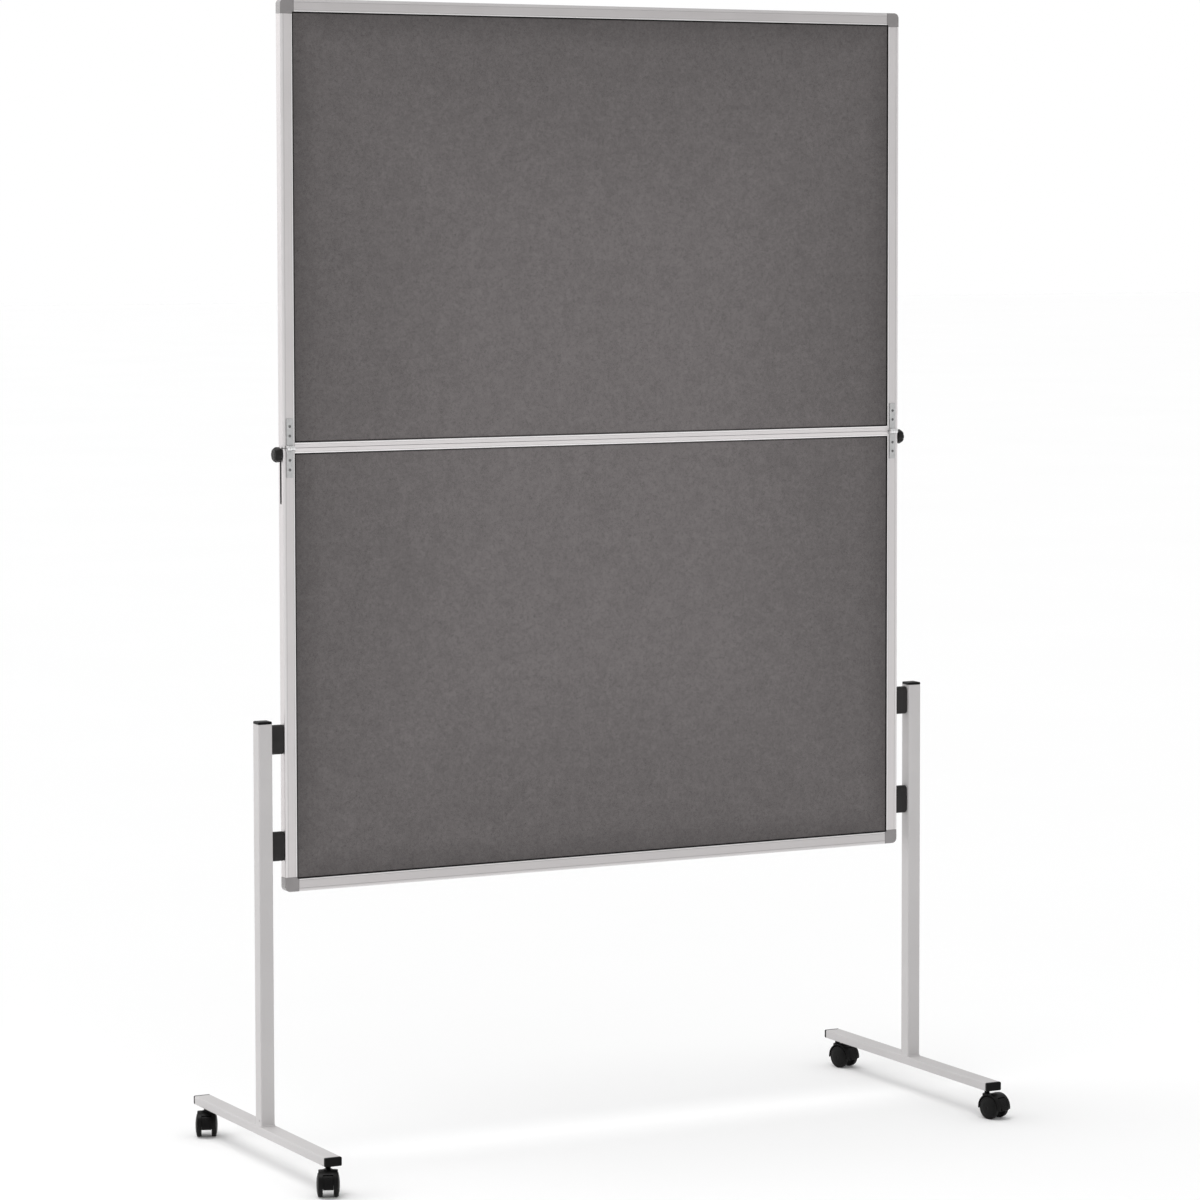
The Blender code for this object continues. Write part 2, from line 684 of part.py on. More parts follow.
def castor(name, side, x, y, meshes, parent):
    swivel = Matrix.Translation((x, y, 0)) @ Matrix.Rotation(CASTOR_HEADING[side], 4, "Z")
    add_part(f"castor_stem_{name}", meshes["stem"], "zinc_steel", swivel, parent)
    hood = add_part(f"castor_hood_{name}", meshes["hood"], "black_plastic", swivel, parent)
    for letter, out in (("a", 1), ("b", -1)):
        face = Matrix.Translation((CASTOR_TRAIL, out * WHEEL_INNER, WHEEL_RADIUS))
        turn = Matrix.Rotation(-out * math.pi / 2, 4, "X")
        wheel = f"castor_wheel_{name}_{letter}"
        add_part(wheel, meshes["wheel"], "black_plastic", swivel @ face @ turn, hood)
    along, up = axle_point(PEDAL_PIVOT_RADIUS, PEDAL_PIVOT_ANGLE)
    pivot = swivel @ Matrix.Translation((along, 0, up))
    add_part(f"brake_pedal_{name}", meshes["pedal"], "black_plastic", pivot, hood)


# ---------------------------------------------------------------- assembly


def build():
    root = axis_empty("stand_axis", (0, 0, 0))
    upper = axis_empty("fold_axis", (0, HINGE_AXIS_Y, SPLIT))
    lower_panel(root)
    upper_panel(upper)
    castor_meshes = {"stem": stem_mesh(), "hood": hood_mesh(), "wheel": wheel_mesh(), "pedal": pedal_mesh()}
    for name, side in SIDES.items():
        hinge(name, side, root, upper)
        lock(name, side, root)
        upright(name, side, root)
        foot(name, side, root)
        for level_name, level in SPACER_LEVELS.items():
            spacer(f"{name}_{level_name}", side, level, root)
        for end_name, end in (("front", -1), ("rear", 1)):
            foot_cap(f"{name}_{end_name}", side, end, root)
            corner = f"{name}_{end_name}"
            castor(corner, name, side * UPRIGHT_X, end * CASTOR_Y, castor_meshes, root)


clear_scene()
SIDES = {"left": -1, "right": 1}
PARTS = new_collection("folding_pinboard")
SHADES = {name: new_material(name) for name in MATERIALS}
build()
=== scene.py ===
import json
import math

import bmesh
import bpy
from mathutils import Matrix, Vector
from mathutils.geometry import tessellate_polygon

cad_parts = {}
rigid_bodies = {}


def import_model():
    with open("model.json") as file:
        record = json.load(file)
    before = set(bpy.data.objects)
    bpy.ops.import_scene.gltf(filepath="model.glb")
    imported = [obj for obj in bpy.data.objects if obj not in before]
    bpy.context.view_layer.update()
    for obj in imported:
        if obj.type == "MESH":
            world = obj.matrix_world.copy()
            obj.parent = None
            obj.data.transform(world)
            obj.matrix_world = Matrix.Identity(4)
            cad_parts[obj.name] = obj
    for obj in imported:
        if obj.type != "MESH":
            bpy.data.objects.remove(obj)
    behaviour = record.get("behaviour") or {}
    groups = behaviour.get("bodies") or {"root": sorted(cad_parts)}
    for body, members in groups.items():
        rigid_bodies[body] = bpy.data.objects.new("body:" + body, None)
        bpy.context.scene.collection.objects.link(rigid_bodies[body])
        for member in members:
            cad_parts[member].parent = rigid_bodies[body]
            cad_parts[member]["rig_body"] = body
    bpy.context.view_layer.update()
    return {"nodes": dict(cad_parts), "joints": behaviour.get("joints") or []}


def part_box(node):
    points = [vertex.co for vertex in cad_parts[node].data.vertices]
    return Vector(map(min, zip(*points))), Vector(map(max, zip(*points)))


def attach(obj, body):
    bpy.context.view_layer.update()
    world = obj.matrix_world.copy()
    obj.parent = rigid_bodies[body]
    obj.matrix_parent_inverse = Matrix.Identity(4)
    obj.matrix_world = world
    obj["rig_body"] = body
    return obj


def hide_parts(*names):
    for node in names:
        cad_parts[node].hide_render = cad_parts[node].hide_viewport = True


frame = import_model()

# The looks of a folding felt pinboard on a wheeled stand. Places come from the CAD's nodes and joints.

MM = 0.001
FIT = 0.3 * MM
SHARP = math.radians(38)

SIDES = {"left": -1, "right": 1}
ENDS = {"front": -1, "rear": 1}
NODES = frame["nodes"]
JOINTS = {joint["name"]: joint for joint in frame["joints"]}
PANEL_BODY = {"upper": "upper_panel", "lower": "root"}

# Frame sections: a rail is a tube with a lip over each face of the panel, FACE wide in all
LIP = 1.5 * MM
TUBE = 13.5 * MM
FACE = 21.5 * MM
WALL = 1.7 * MM
FOLD_TUBE = 4 * MM
FOLD_FACE = 8.5 * MM
GROOVE = 0.35 * MM
CAP_REACH = 24.5 * MM
CAP_RADIUS = 9 * MM
SPIGOT_GAP = 2.1 * MM
SPIGOT_LENGTH = 15 * MM
SLOT_RADIUS = 3.3 * MM
LINER = 0.5 * MM
BEAD = 2.4 * MM
EASE = 0.2 * MM

# Hinges and screws
HINGE_AXIS = Vector(JOINTS["panel_fold"]["pos_m"])
SCREW_LEVELS = (20.5 * MM, 36.5 * MM)
LEAF_FRONT = -11.8 * MM
LEAF_BACK = -10.3 * MM
LEAF_HALF = 6 * MM
BARREL_RADIUS = 4.5 * MM
BARREL_LENGTH = 14 * MM
PIN_RADIUS = 1.75 * MM
PIN_BORE = 2.1 * MM

# Stand
TUBE_WALL = 1.5 * MM
CORNER = 2.2 * MM
WELD = 1.3 * MM
SPACER_RADIUS = 7.5 * MM
STEM_BORE = 4.4 * MM
FOOT_CAP_HEAD = 5.5 * MM
PLUG_PLACES = (-193 * MM, 240 * MM)
PLUG_RADIUS = 6.2 * MM
PLUG_DEPTH = 3 * MM

# Studio light
BRIGHT_SIDE = (-0.478, 0.878, 0)
BRIGHT = 1.35
DIM = 0.67

# Castors, in a frame with X along the trail, Y along the axle and Z up from the floor
AXLE = Vector((17, 0, 20)) * MM
AXLE_RADIUS = 2.5 * MM
AXLE_HALF = 17.3 * MM
WHEEL_RADIUS = 20 * MM
WHEEL_INNER = 8.85 * MM
WEB_RADIUS = 22.5 * MM
WEB_HALF = 8.5 * MM
WEB_DROP = 5.2 * MM
FENDER_HALF = 16 * MM
FENDER_INNER = 22 * MM
FENDER_OUTER = 25 * MM
SOCKET_RADIUS = 8.2 * MM
SOCKET_TOP = 42 * MM


# ---------------------------------------------------------------- shapes


def filleted(corners, steps=4, closed=True):
    """An outline from (x, y, radius) corners, each rounded by an arc."""
    points = []
    count = len(corners)
    for i, (x, y, radius) in enumerate(corners):
        if radius == 0 or (not closed and i in (0, count - 1)):
            points.append((x, y))
            continue
        corner = Vector((x, y))
        before = (Vector(corners[i - 1][:2]) - corner).normalized()
        after = (Vector(corners[(i + 1) % count][:2]) - corner).normalized()
        half = before.angle(after) / 2
        reach = radius / math.tan(half)
        start, end = corner + before * reach, corner + after * reach
        for k in range(steps + 1):
            t = k / steps
            a, b, c = (1 - t) ** 2, 2 * math.sin(half) * t * (1 - t), t * t
            points.append(tuple((start * a + corner * b + end * c) / (a + b + c)))
    return points


def rounded_box(low, high, radius, steps=5):
    corners = [(low[0], low[1]), (high[0], low[1]), (high[0], high[1]), (low[0], high[1])]
    return filleted([(*corner, radius) for corner in corners], steps)


def area(loop):
    return sum(a[0] * b[1] - b[0] * a[1] for a, b in zip(loop, loop[1:] + loop[:1])) / 2


def inset(loop, amount):
    """The loop moved to its left, which is into the material for an outline turned counter-clockwise."""
    if amount == 0:
        return list(loop)
    points = []
    for i, here in enumerate(loop):
        here, before, after = Vector(here), Vector(loop[i - 1]), Vector(loop[(i + 1) % len(loop)])
        first, second = (here - before).normalized(), (after - here).normalized()
        left = Vector((-first.y - second.y, first.x + second.x)).normalized()
        share = max(0.5, left.dot(Vector((-first.y, first.x))))
        points.append(tuple(here + left * amount / share))
    return points


def finished(work):
    mesh = bpy.data.meshes.new("piece")
    bmesh.ops.recalc_face_normals(work, faces=work.faces)
    work.to_mesh(mesh)
    work.free()
    return mesh


def eased(low, high, ease=EASE):
    """Stations from one end to the other, as (along, inset), with rounded ends."""
    near = 0.29 * ease
    start = [(low, ease), (low + near, near), (low + ease, 0)]
    return start + [(high - ease, 0), (high - near, near), (high, ease)]


def shrunk(loop, share):
    """The loop drawn in towards its middle by a share of its size."""
    x, y = (sum(values) / len(loop) for values in zip(*loop))
    return [(x + (a - x) * (1 - share), y + (b - y) * (1 - share)) for a, b in loop]


def extruded(outline, place, stations, hole=None):
    """An outline, with an optional hole, through its stations. place turns (across, up, along) into a point.

    A station is (along, inset) or (along, inset, share to shrink by).
    """
    loops = [outline if area(outline) > 0 else outline[::-1]]
    if hole:
        loops.append(hole if area(hole) < 0 else hole[::-1])
    work = bmesh.new()
    rings, outlines = [], []
    for along, amount, *share in stations:
        flat = [inset(loops[0], amount)] + [inset(loop, max(0, amount)) for loop in loops[1:]]
        flat = [shrunk(loop, *share) for loop in flat] if share else flat
        outlines.append(flat)
        rings.append([[work.verts.new(place(*point, along)) for point in loop] for loop in flat])
    for before, after in zip(rings, rings[1:]):
        for a, b in zip(before, after):
            for i in range(len(a)):
                work.faces.new((a[i - 1], a[i], b[i], b[i - 1]))
    for ring, flat in ((rings[0], outlines[0]), (rings[-1], outlines[-1])):
        vertices = [vertex for loop in ring for vertex in loop]
        for triangle in tessellate_polygon([[Vector((*point, 0)) for point in loop] for loop in flat]):
            work.faces.new([vertices[i] for i in triangle])
    return finished(work)


def turned(profile, steps=64, shape=None):
    """A profile of (radius, height) points turned about Z. shape may then move a point, given its angle."""
    work = bmesh.new()
    rings = []
    for radius, height in profile:
        if radius == 0:
            rings.append([work.verts.new((0, 0, height))])
            continue
        angles = [2 * math.pi * i / steps for i in range(steps)]
        radii = [shape(radius, height, angle) if shape else radius for angle in angles]
        rings.append(
            [work.verts.new((r * math.cos(a), r * math.sin(a), height)) for r, a in zip(radii, angles)]
        )
    for a, b in zip(rings, rings[1:]):
        for i in range(steps):
            corners = [a[i - 1 if len(a) > 1 else 0], a[i if len(a) > 1 else 0]]
            corners += [b[i if len(b) > 1 else 0], b[i - 1 if len(b) > 1 else 0]]
            work.faces.new(list(dict.fromkeys(corners)))
    return finished(work)


def lathed(points, steps, arc_steps, shape=None):
    """A body turned about Z from (radius, height, rounding) points in millimetres."""
    profile = [tuple(value * MM for value in point) for point in points]
    return turned(filleted(profile, arc_steps, False), steps, shape)


def cylinder(radius, low, high, steps, soft=0):
    """A cylinder about Z, with its rims rounded if asked."""
    profile = [(0, low, 0), (radius, low, soft), (radius, high, soft), (0, high, 0)]
    return turned(filleted(profile, 3, False), steps)


def marked(mesh, name, value):
    """Writes a number at each point of a mesh, for its material."""
    layer = mesh.attributes.new(name, "FLOAT", "POINT")
    layer.data.foreach_set("value", [value(vertex.co) for vertex in mesh.vertices])
    return mesh


def block(low, high, ease=0.0):
    """A box, with its edges rounded if asked."""
    work = bmesh.new()
    bmesh.ops.create_cube(work, size=1)
    bmesh.ops.scale(work, vec=Vector(high) - Vector(low), verts=work.verts)
    bmesh.ops.translate(work, vec=(Vector(low) + Vector(high)) / 2, verts=work.verts)
    if ease:
        bmesh.ops.bevel(work, geom=work.edges[:], offset=ease, segments=3, profile=0.5, affect="EDGES")
    return finished(work)


def moved(mesh, matrix):
    copy = mesh.copy()
    copy.transform(matrix)
    if matrix.determinant() < 0:
        copy.flip_normals()
    return copy


def linked(name, data):
    """A new object in the scene."""
    obj = bpy.data.objects.new(name, data)
    bpy.context.scene.collection.objects.link(obj)
    return obj


def combined(base, *steps):
    """The base mesh after Boolean steps, each an operation and the mesh that it takes."""
    obj = linked("base", base)
    tools = []
    for operation, mesh in steps:
        tool = linked("tool", mesh)
        tools.append(tool)
        modifier = obj.modifiers.new(operation, "BOOLEAN")
        modifier.operation = operation
        modifier.solver = "MANIFOLD"
        modifier.object = tool
    graph = bpy.context.evaluated_depsgraph_get()
    result = bpy.data.meshes.new_from_object(obj.evaluated_get(graph))
    for helper in [obj, *tools]:
        bpy.data.objects.remove(helper)
    return result


def along_x(mesh, side=1):
    """A mesh made about Z, laid along X towards a side."""
    return moved(mesh, Matrix.Rotation(side * math.pi / 2, 4, "Y"))


def along_y(mesh, side=1):
    return moved(mesh, Matrix.Rotation(-side * math.pi / 2, 4, "X"))


# ---------------------------------------------------------------- materials


class Shade:
    """A Principled material, with a short way to add the nodes behind its sockets."""

    def __init__(self, name, **constants):
        self.material = bpy.data.materials.new(name)
        self.material.use_nodes = True
        self.tree = self.material.node_tree
        self.shader = self.tree.nodes["Principled BSDF"]
        for socket, value in constants.items():
            self.shader.inputs[socket.replace("_", " ")].default_value = value
        self.coordinates = self.node("ShaderNodeTexCoord").outputs["Object"]

    def node(self, kind, settings=None, **links):
        """Adds a node. A link is a value or another node's output, and its name has _ for a space."""
        made = self.tree.nodes.new(kind)
        for name, value in (settings or {}).items():
            setattr(made, name, value)
        for name, value in links.items():
            socket = made.inputs[int(name[1:]) if name[1:].isdigit() else name.replace("_", " ")]
            if isinstance(value, bpy.types.NodeSocket):
                self.tree.links.new(value, socket)
            else:
                socket.default_value = value
        return made

    def noise(self, scale, stretch=(1, 1, 1), detail=4.0, distortion=0.0, roughness=0.5):
        scaled = self.node("ShaderNodeMapping", Vector=self.coordinates, Scale=stretch).outputs[0]
        noise = self.node(
            "ShaderNodeTexNoise",
            Vector=scaled,
            Scale=scale,
            Detail=detail,
            Distortion=distortion,
            Roughness=roughness,
        )
        return noise.outputs["Fac"]

    def ranged(self, value, low, high, to_low=0.0, to_high=1.0):
        node = self.node("ShaderNodeMapRange", None, Value=value)
        for name, number in (("From Min", low), ("From Max", high), ("To Min", to_low), ("To Max", to_high)):
            node.inputs[name].default_value = number
        return node.outputs[0]

    def maths(self, operation, a, b=0.0):
        return self.node("ShaderNodeMath", {"operation": operation}, _0=a, _1=b).outputs[0]

    def mixed(self, share, a, b):
        node = self.node("ShaderNodeMix", {"data_type": "RGBA"}, _0=share, _6=a, _7=b)
        return node.outputs[2]

    def toned(self, noise, low, high, warm=0.0):
        """A grey that goes from low to high with a noise."""
        return self.mixed(self.ranged(noise, 0.3, 0.7), grey(low, warm), grey(high, warm))

    def set(self, socket, value):
        self.tree.links.new(value, self.shader.inputs[socket])

    def bump(self, height, distance, strength, before=None):
        links = {"Normal": before} if before else {}
        bump = self.node("ShaderNodeBump", None, Height=height, Distance=distance, Strength=strength, **links)
        self.set("Normal", bump.outputs[0])
        return bump.outputs[0]


def grey(value, warm=0.0):
    """A linear colour from an sRGB grey level of 0 to 255."""
    linear = ((value / 255 + 0.055) / 1.055) ** 2.4
    return (linear * (1 + warm), linear, linear, 1)


def aluminium(name, along, low, high):
    """Anodised aluminium, with fine drawn lines along one axis, a painted highlight on the beads and outer
    bands, and painted shade in the grooves.
    """
    shade = Shade(name, Metallic=1.0)
    stretch = [1.0, 1.0, 1.0]
    stretch[along] = 0.004
    lines = shade.noise(1400, stretch, detail=3)
    cloud = shade.noise(14, detail=3)
    grain = shade.noise(5200, detail=2)
    tone = shade.maths("ADD", shade.ranged(lines, 0.3, 0.7, 0, 0.55), shade.ranged(cloud, 0.3, 0.7, 0, 0.45))
    base = shade.mixed(tone, grey(low, 0.045), grey(high, 0.035))
    # Painted highlight lightens the beads and outer bands, and painted shade darkens the grooves.
    polish = shade.node("ShaderNodeAttribute", {"attribute_name": "polish"}).outputs["Fac"]
    base = shade.mixed(polish, base, grey(high + 20, 0.02))
    shade.set("Base Color", shade.mixed(shade.maths("MULTIPLY", polish, -0.6), base, grey(low - 60)))
    shade.set("Roughness", shade.ranged(shade.maths("ADD", lines, cloud), 0.6, 1.4, 0.32, 0.5))
    first = shade.bump(lines, 0.02 * MM, 0.35)
    shade.bump(grain, 0.01 * MM, 0.25, first)
    return shade.material


def powder_coat(name, low, high):
    """Light grey powder coat, with its orange peel and a few specks."""
    shade = Shade(name, Specular_IOR_Level=0.18, Coat_Weight=0.04, Coat_Roughness=0.25)
    peel = shade.noise(420, detail=2)
    cloud = shade.noise(9, detail=3)
    speck = shade.ranged(shade.noise(2600, detail=1), 0.66, 0.74)
    base = shade.toned(cloud, low, high, 0.03)
    shade.set("Base Color", shade.mixed(shade.maths("MULTIPLY", speck, 0.25), base, grey(low - 40)))
    shade.set("Roughness", shade.ranged(peel, 0.3, 0.7, 0.36, 0.5))
    shade.bump(peel, 0.05 * MM, 0.4)
    return shade.material


def zinc(name, low, high, smooth=0.26, rough=0.46, worn=None):
    """Plated steel: patches of crystal, small scratches, and if asked a painted highlight that lightens the
    knuckles in front of the leaf.
    """
    shade = Shade(name, Metallic=1.0)
    cells = shade.node("ShaderNodeTexVoronoi", None, Vector=shade.coordinates, Scale=420)
    crystal = cells.outputs["Distance"]
    cloud = shade.noise(160, detail=4)
    scratch = shade.ranged(shade.noise(900, (1, 1, 0.05), detail=2), 0.62, 0.7)
    base = shade.toned(cloud, low, high)
    if worn:
        # worn is the grey of a painted highlight on everything in front of the leaf: the knuckles and barrel.
        depth = shade.node("ShaderNodeSeparateXYZ", None, Vector=shade.coordinates).outputs["Y"]
        base = shade.mixed(shade.ranged(depth, -12.2 * MM, -14 * MM), base, grey(worn))
    shade.set("Base Color", base)
    shade.set("Roughness", shade.ranged(shade.maths("ADD", crystal, cloud), 0.4, 1.3, smooth, rough))
    shade.bump(shade.maths("ADD", scratch, crystal), 0.02 * MM, 0.3)
    return shade.material


def moulded(name, low, high, smooth=0.38, rough=0.52, texture=1500, depth=0.03, dust=0, gloss=0.45, coat=0):
    """Moulded plastic with a fine eroded texture, and a little dust if asked."""
    shade = Shade(name, Specular_IOR_Level=gloss, Coat_Weight=coat, Coat_Roughness=0.2)
    grain = shade.noise(texture, detail=3)
    cloud = shade.noise(60, detail=4)
    base = shade.toned(cloud, low, high, 0.06)
    if dust:
        worn = shade.ranged(shade.noise(240, detail=5, distortion=0.6), 0.45, 0.75, 0, dust)
        base = shade.mixed(worn, base, grey(high + 30, 0.03))
    shade.set("Base Color", base)
    shade.set("Roughness", shade.ranged(shade.maths("ADD", grain, cloud), 0.7, 1.3, smooth, rough))
    shade.bump(grain, depth * MM, 0.5)
    return shade.material


def wheel_plastic(name, low, high):
    """Wheel nylon: its face is clean, and its tread is scuffed and a little dusty."""
    shade = Shade(name, Specular_IOR_Level=0.13)
    grain = shade.noise(1300, detail=3)
    cloud = shade.noise(90, detail=4)
    flat = shade.node("ShaderNodeVectorMath", {"operation": "MULTIPLY"}, _0=shade.coordinates, _1=(1, 1, 0))
    radius = shade.node("ShaderNodeVectorMath", {"operation": "LENGTH"}, _0=flat.outputs[0]).outputs["Value"]
    tread = shade.ranged(radius, WHEEL_RADIUS - 1 * MM, WHEEL_RADIUS)
    scuff = shade.ranged(shade.noise(700, (1, 1, 0.3), detail=4), 0.42, 0.7)
    base = shade.toned(cloud, low, high, 0.02)
    worn = shade.maths("MULTIPLY", tread, shade.ranged(scuff, 0, 1, 0.15, 0.7))
    shade.set("Base Color", shade.mixed(worn, base, grey(high + 26, 0.03)))
    shade.set("Roughness", shade.ranged(shade.maths("ADD", worn, grain), 0.3, 1.4, 0.34, 0.7))
    shade.bump(grain, 0.02 * MM, 0.4)
    return shade.material


def felt_cloth(name, low, high, fibre):
    """Needled felt: matted fibres that cross each other, with a painted shadow line by the lips and painted
    shade that darkens it near the board's outer margin.
    """
    shade = Shade(name, Roughness=0.95, Sheen_Weight=0.12, Sheen_Roughness=0.45, Specular_IOR_Level=0.12)
    mat = shade.noise(420, detail=6, distortion=1.2, roughness=0.65)
    cloud = shade.noise(36, detail=6, distortion=0.6, roughness=0.6)
    tuft = shade.noise(170, detail=3, distortion=0.5)
    strands = []
    for stretch in ((1, 1, 0.18), (0.18, 1, 1), (0.5, 1, 0.5)):
        wave = shade.noise(1500, stretch, detail=2, distortion=0.8)
        ridge = shade.maths("ABSOLUTE", shade.maths("SUBTRACT", wave, 0.5))
        strands.append(shade.ranged(ridge, 0.07, 0.01))
    strand = shade.maths("MAXIMUM", shade.maths("MAXIMUM", strands[0], strands[1]), strands[2])
    warm = 0.085  # The felt is a slightly reddish grey.
    base = shade.toned(mat, low, high, warm)
    base = shade.mixed(shade.ranged(tuft, 0.3, 0.7, 0, 0.7), base, grey(high + 8, warm))
    base = shade.mixed(shade.ranged(cloud, 0.4, 0.65, 0, 0.36), base, grey(low + 8, warm))
    base = shade.mixed(shade.maths("MULTIPLY", strand, 0.5), base, grey(fibre, warm))
    inside = shade.node("ShaderNodeAttribute", {"attribute_name": "inside"}).outputs["Fac"]
    margin = shade.node("ShaderNodeAttribute", {"attribute_name": "margin"}).outputs["Fac"]
    # Painted shade: the felt darkens within 50 mm of the board's outer lips, and faintly across 350 mm,
    # standing in for the frame's shade.
    near = shade.ranged(margin, 0, 50 * MM, 0.17, 0)
    painted_margin_shade = shade.maths("ADD", near, shade.ranged(margin, 0, 350 * MM, 0.2, 0))
    # Painted shadow: a near-black line in the first 3 mm inside every lip, for the shade under the lip.
    rim = shade.maths("ADD", painted_margin_shade, shade.ranged(inside, 1 * MM, 3 * MM, 0.8, 0))
    shade.set("Base Color", shade.mixed(rim, base, grey(8, warm)))
    height = shade.maths("ADD", mat, shade.maths("MULTIPLY", strand, 0.5))
    shade.bump(height, 0.25 * MM, 0.6)
    return shade.material


def wood_board(name):
    """The panels' core: pressed fibre."""
    shade = Shade(name, Roughness=0.9)
    chips = shade.noise(300, (1, 1, 0.3), detail=6)
    shade.set("Base Color", shade.mixed(chips, (0.30, 0.20, 0.12, 1), (0.52, 0.40, 0.26, 1)))
    shade.bump(chips, 0.2 * MM, 0.5)
    return shade.material


SHADES = {
    # The rails across, the side rails and the fold rails are one aluminium in three tones, lighter in that
    # order: painted light, for how each catches the light.
    "aluminium_x": aluminium("aluminium_across", 0, 194, 204),
    "aluminium_z": aluminium("aluminium_upright", 2, 206, 216),
    "aluminium_fold": aluminium("aluminium_fold", 0, 222, 232),
    "paint": powder_coat("powder_coat", 188, 193),
    # worn=238: a painted highlight on the hinge knuckles.
    "zinc": zinc("zinc_plate", 188, 203, worn=238),
    "screw": zinc("screw_steel", 120, 145, 0.3, 0.45),
    "grey": moulded("grey_moulding", 124, 132, coat=1.0),
    "plug": moulded("plug_moulding", 188, 196),
    "black": moulded("black_moulding", 8, 13, gloss=0.12),
    "spacer": moulded("spacer_moulding", 38, 45, gloss=0.15),
    "knob": moulded("knob_moulding", 22, 29, 0.3, 0.42, gloss=0.2),
    "castor": moulded("castor_moulding", 9, 14, 0.28, 0.4, 1200, 0.02, 0.02, 0.13),
    "wheel": wheel_plastic("wheel_nylon", 11, 16),
    # Dark steel for the lock bars: painted shade for the slots they are seen through.
    "dark_steel": zinc("blackened_steel", 34, 46, 0.35, 0.55),
    "felt": felt_cloth("grey_felt_cloth", 62, 107, 132),
    "core": wood_board("core_fibreboard"),
}


# ---------------------------------------------------------------- pieces


def piece(name, mesh, shade, nodes=(), body=None, matrix=None):
    """One visible piece, riding on the body of the CAD nodes that it stands for."""
    mesh.shade_smooth()
    mesh.set_sharp_from_angle(angle=SHARP)
    mesh.materials.clear()
    mesh.materials.append(SHADES[shade])
    obj = linked(name, mesh)
    if matrix:
        obj.matrix_world = matrix
    weighted = obj.modifiers.new("weighted_normal", "WEIGHTED_NORMAL")
    weighted.keep_sharp = True
    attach(obj, body or NODES[nodes[0]]["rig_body"])
    if nodes:
        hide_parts(*nodes)
    return obj


def middle(node):
    low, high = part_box(node)
    return (low + high) / 2


# ---------------------------------------------------------------- board frame


def rail_outline(face, tube, half, outer_radius, band):
    """A rail's section as (across, depth): an outer band, a groove, a flat field and an inner bead."""
    field = half - 0.12 * MM
    front = [(0, half, outer_radius)]
    if band:
        front += [
            (band - 0.5 * MM, half, 0.4 * MM),
            (band, half - GROOVE, 0.2 * MM),
            (band + 0.5 * MM, field, 0.4 * MM),
        ]
    front += [
        (face - BEAD - 0.7 * MM, field, 0.3 * MM),
        (face - BEAD - 0.2 * MM, half - GROOVE - 0.1 * MM, 0.15 * MM),
        (face - BEAD + 0.3 * MM, half, 0.5 * MM),
        (face, half, 0.95 * MM),
        (face, half - LIP, 0.3 * MM),
        (tube, half - LIP, 0),
    ]
    back = [(across, -depth, radius) for across, depth, radius in reversed(front)]
    return filleted(front + back, 4)


def rail(node, horizontal, side, outer_radius=2.0 * MM, band=5.5 * MM, hollow=True, proud=0.0):
    """A frame rail in its node's box. side is where its outer edge faces, and proud how far it sticks out."""
    low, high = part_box(node)
    half = high.y
    across = 2 if horizontal else 0
    face = high[across] - low[across]
    outer = high[across] + proud if side > 0 else low[across] - proud
    face += proud
    tube = TUBE if face > 2 * FOLD_TUBE + 1 * MM else FOLD_TUBE
    outline = rail_outline(face, tube, half, outer_radius, band)
    hole = None
    if hollow:
        hole = rounded_box((WALL, WALL - half), (tube - WALL, half - WALL), 0.5 * MM, 3)

    def place(inward, depth, along):
        position = outer - side * inward
        return (along, depth, position) if horizontal else (position, depth, along)

    def polish(point):
        """The painted light at a point: a painted highlight of 1 on the bead and 0.6 on the outer band, and
        painted shade of -1 in the grooves.
        """
        inward = side * (outer - point[across])
        depth = half - abs(point.y)
        if depth > 0.6 * MM:
            return 0
        if depth > 0.2 * MM and min(abs(inward - band), abs(inward - face + BEAD)) < 0.5 * MM:
            return -1
        return 1 if inward > face - BEAD else 0.6 if inward < band - 0.7 * MM else 0

    ends = (low.x, high.x) if horizontal else (low.z, high.z)
    return marked(extruded(outline, place, eased(*ends), hole), "polish", polish)


def lock_slot(name, side, radius, hole=None):
    """The lock's slot through a rail's outer wall, for its whole travel. With a hole, it is the liner."""
    low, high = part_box(f"lower_rail_{name}")
    knob = Vector(JOINTS[f"knob_turn_{name}"]["pos_m"])
    travel = JOINTS[f"lock_slide_{name}"]["range_m"][1]
    bottom, top = knob.z - travel - 4 * MM, high.z - 5.5 * MM
    edge = SLOT_RADIUS - radius
    outline = rounded_box((-radius, bottom + edge), (radius, top - edge), radius * 0.999, 8)
    outer = high.x if side > 0 else -low.x
    reach = (outer - WALL, outer - 0.05 * MM) if hole else (outer - WALL - 0.6 * MM, outer + 1 * MM)
    stations = [(end, 0) for end in sorted(side * value for value in reach)]
    return extruded(outline, lambda y, z, x: (x, y, z), stations, hole and hole(bottom, top))


def slot_shade_liner(name, side):
    """A black strip that lines a slot: a dark sheet that stands in for the shade inside it."""
    radius = SLOT_RADIUS - LINER

    def hole(bottom, top):
        return rounded_box((-radius, bottom + LINER), (radius, top - LINER), radius * 0.999, 8)

    return lock_slot(name, side, SLOT_RADIUS - 0.02 * MM, hole)


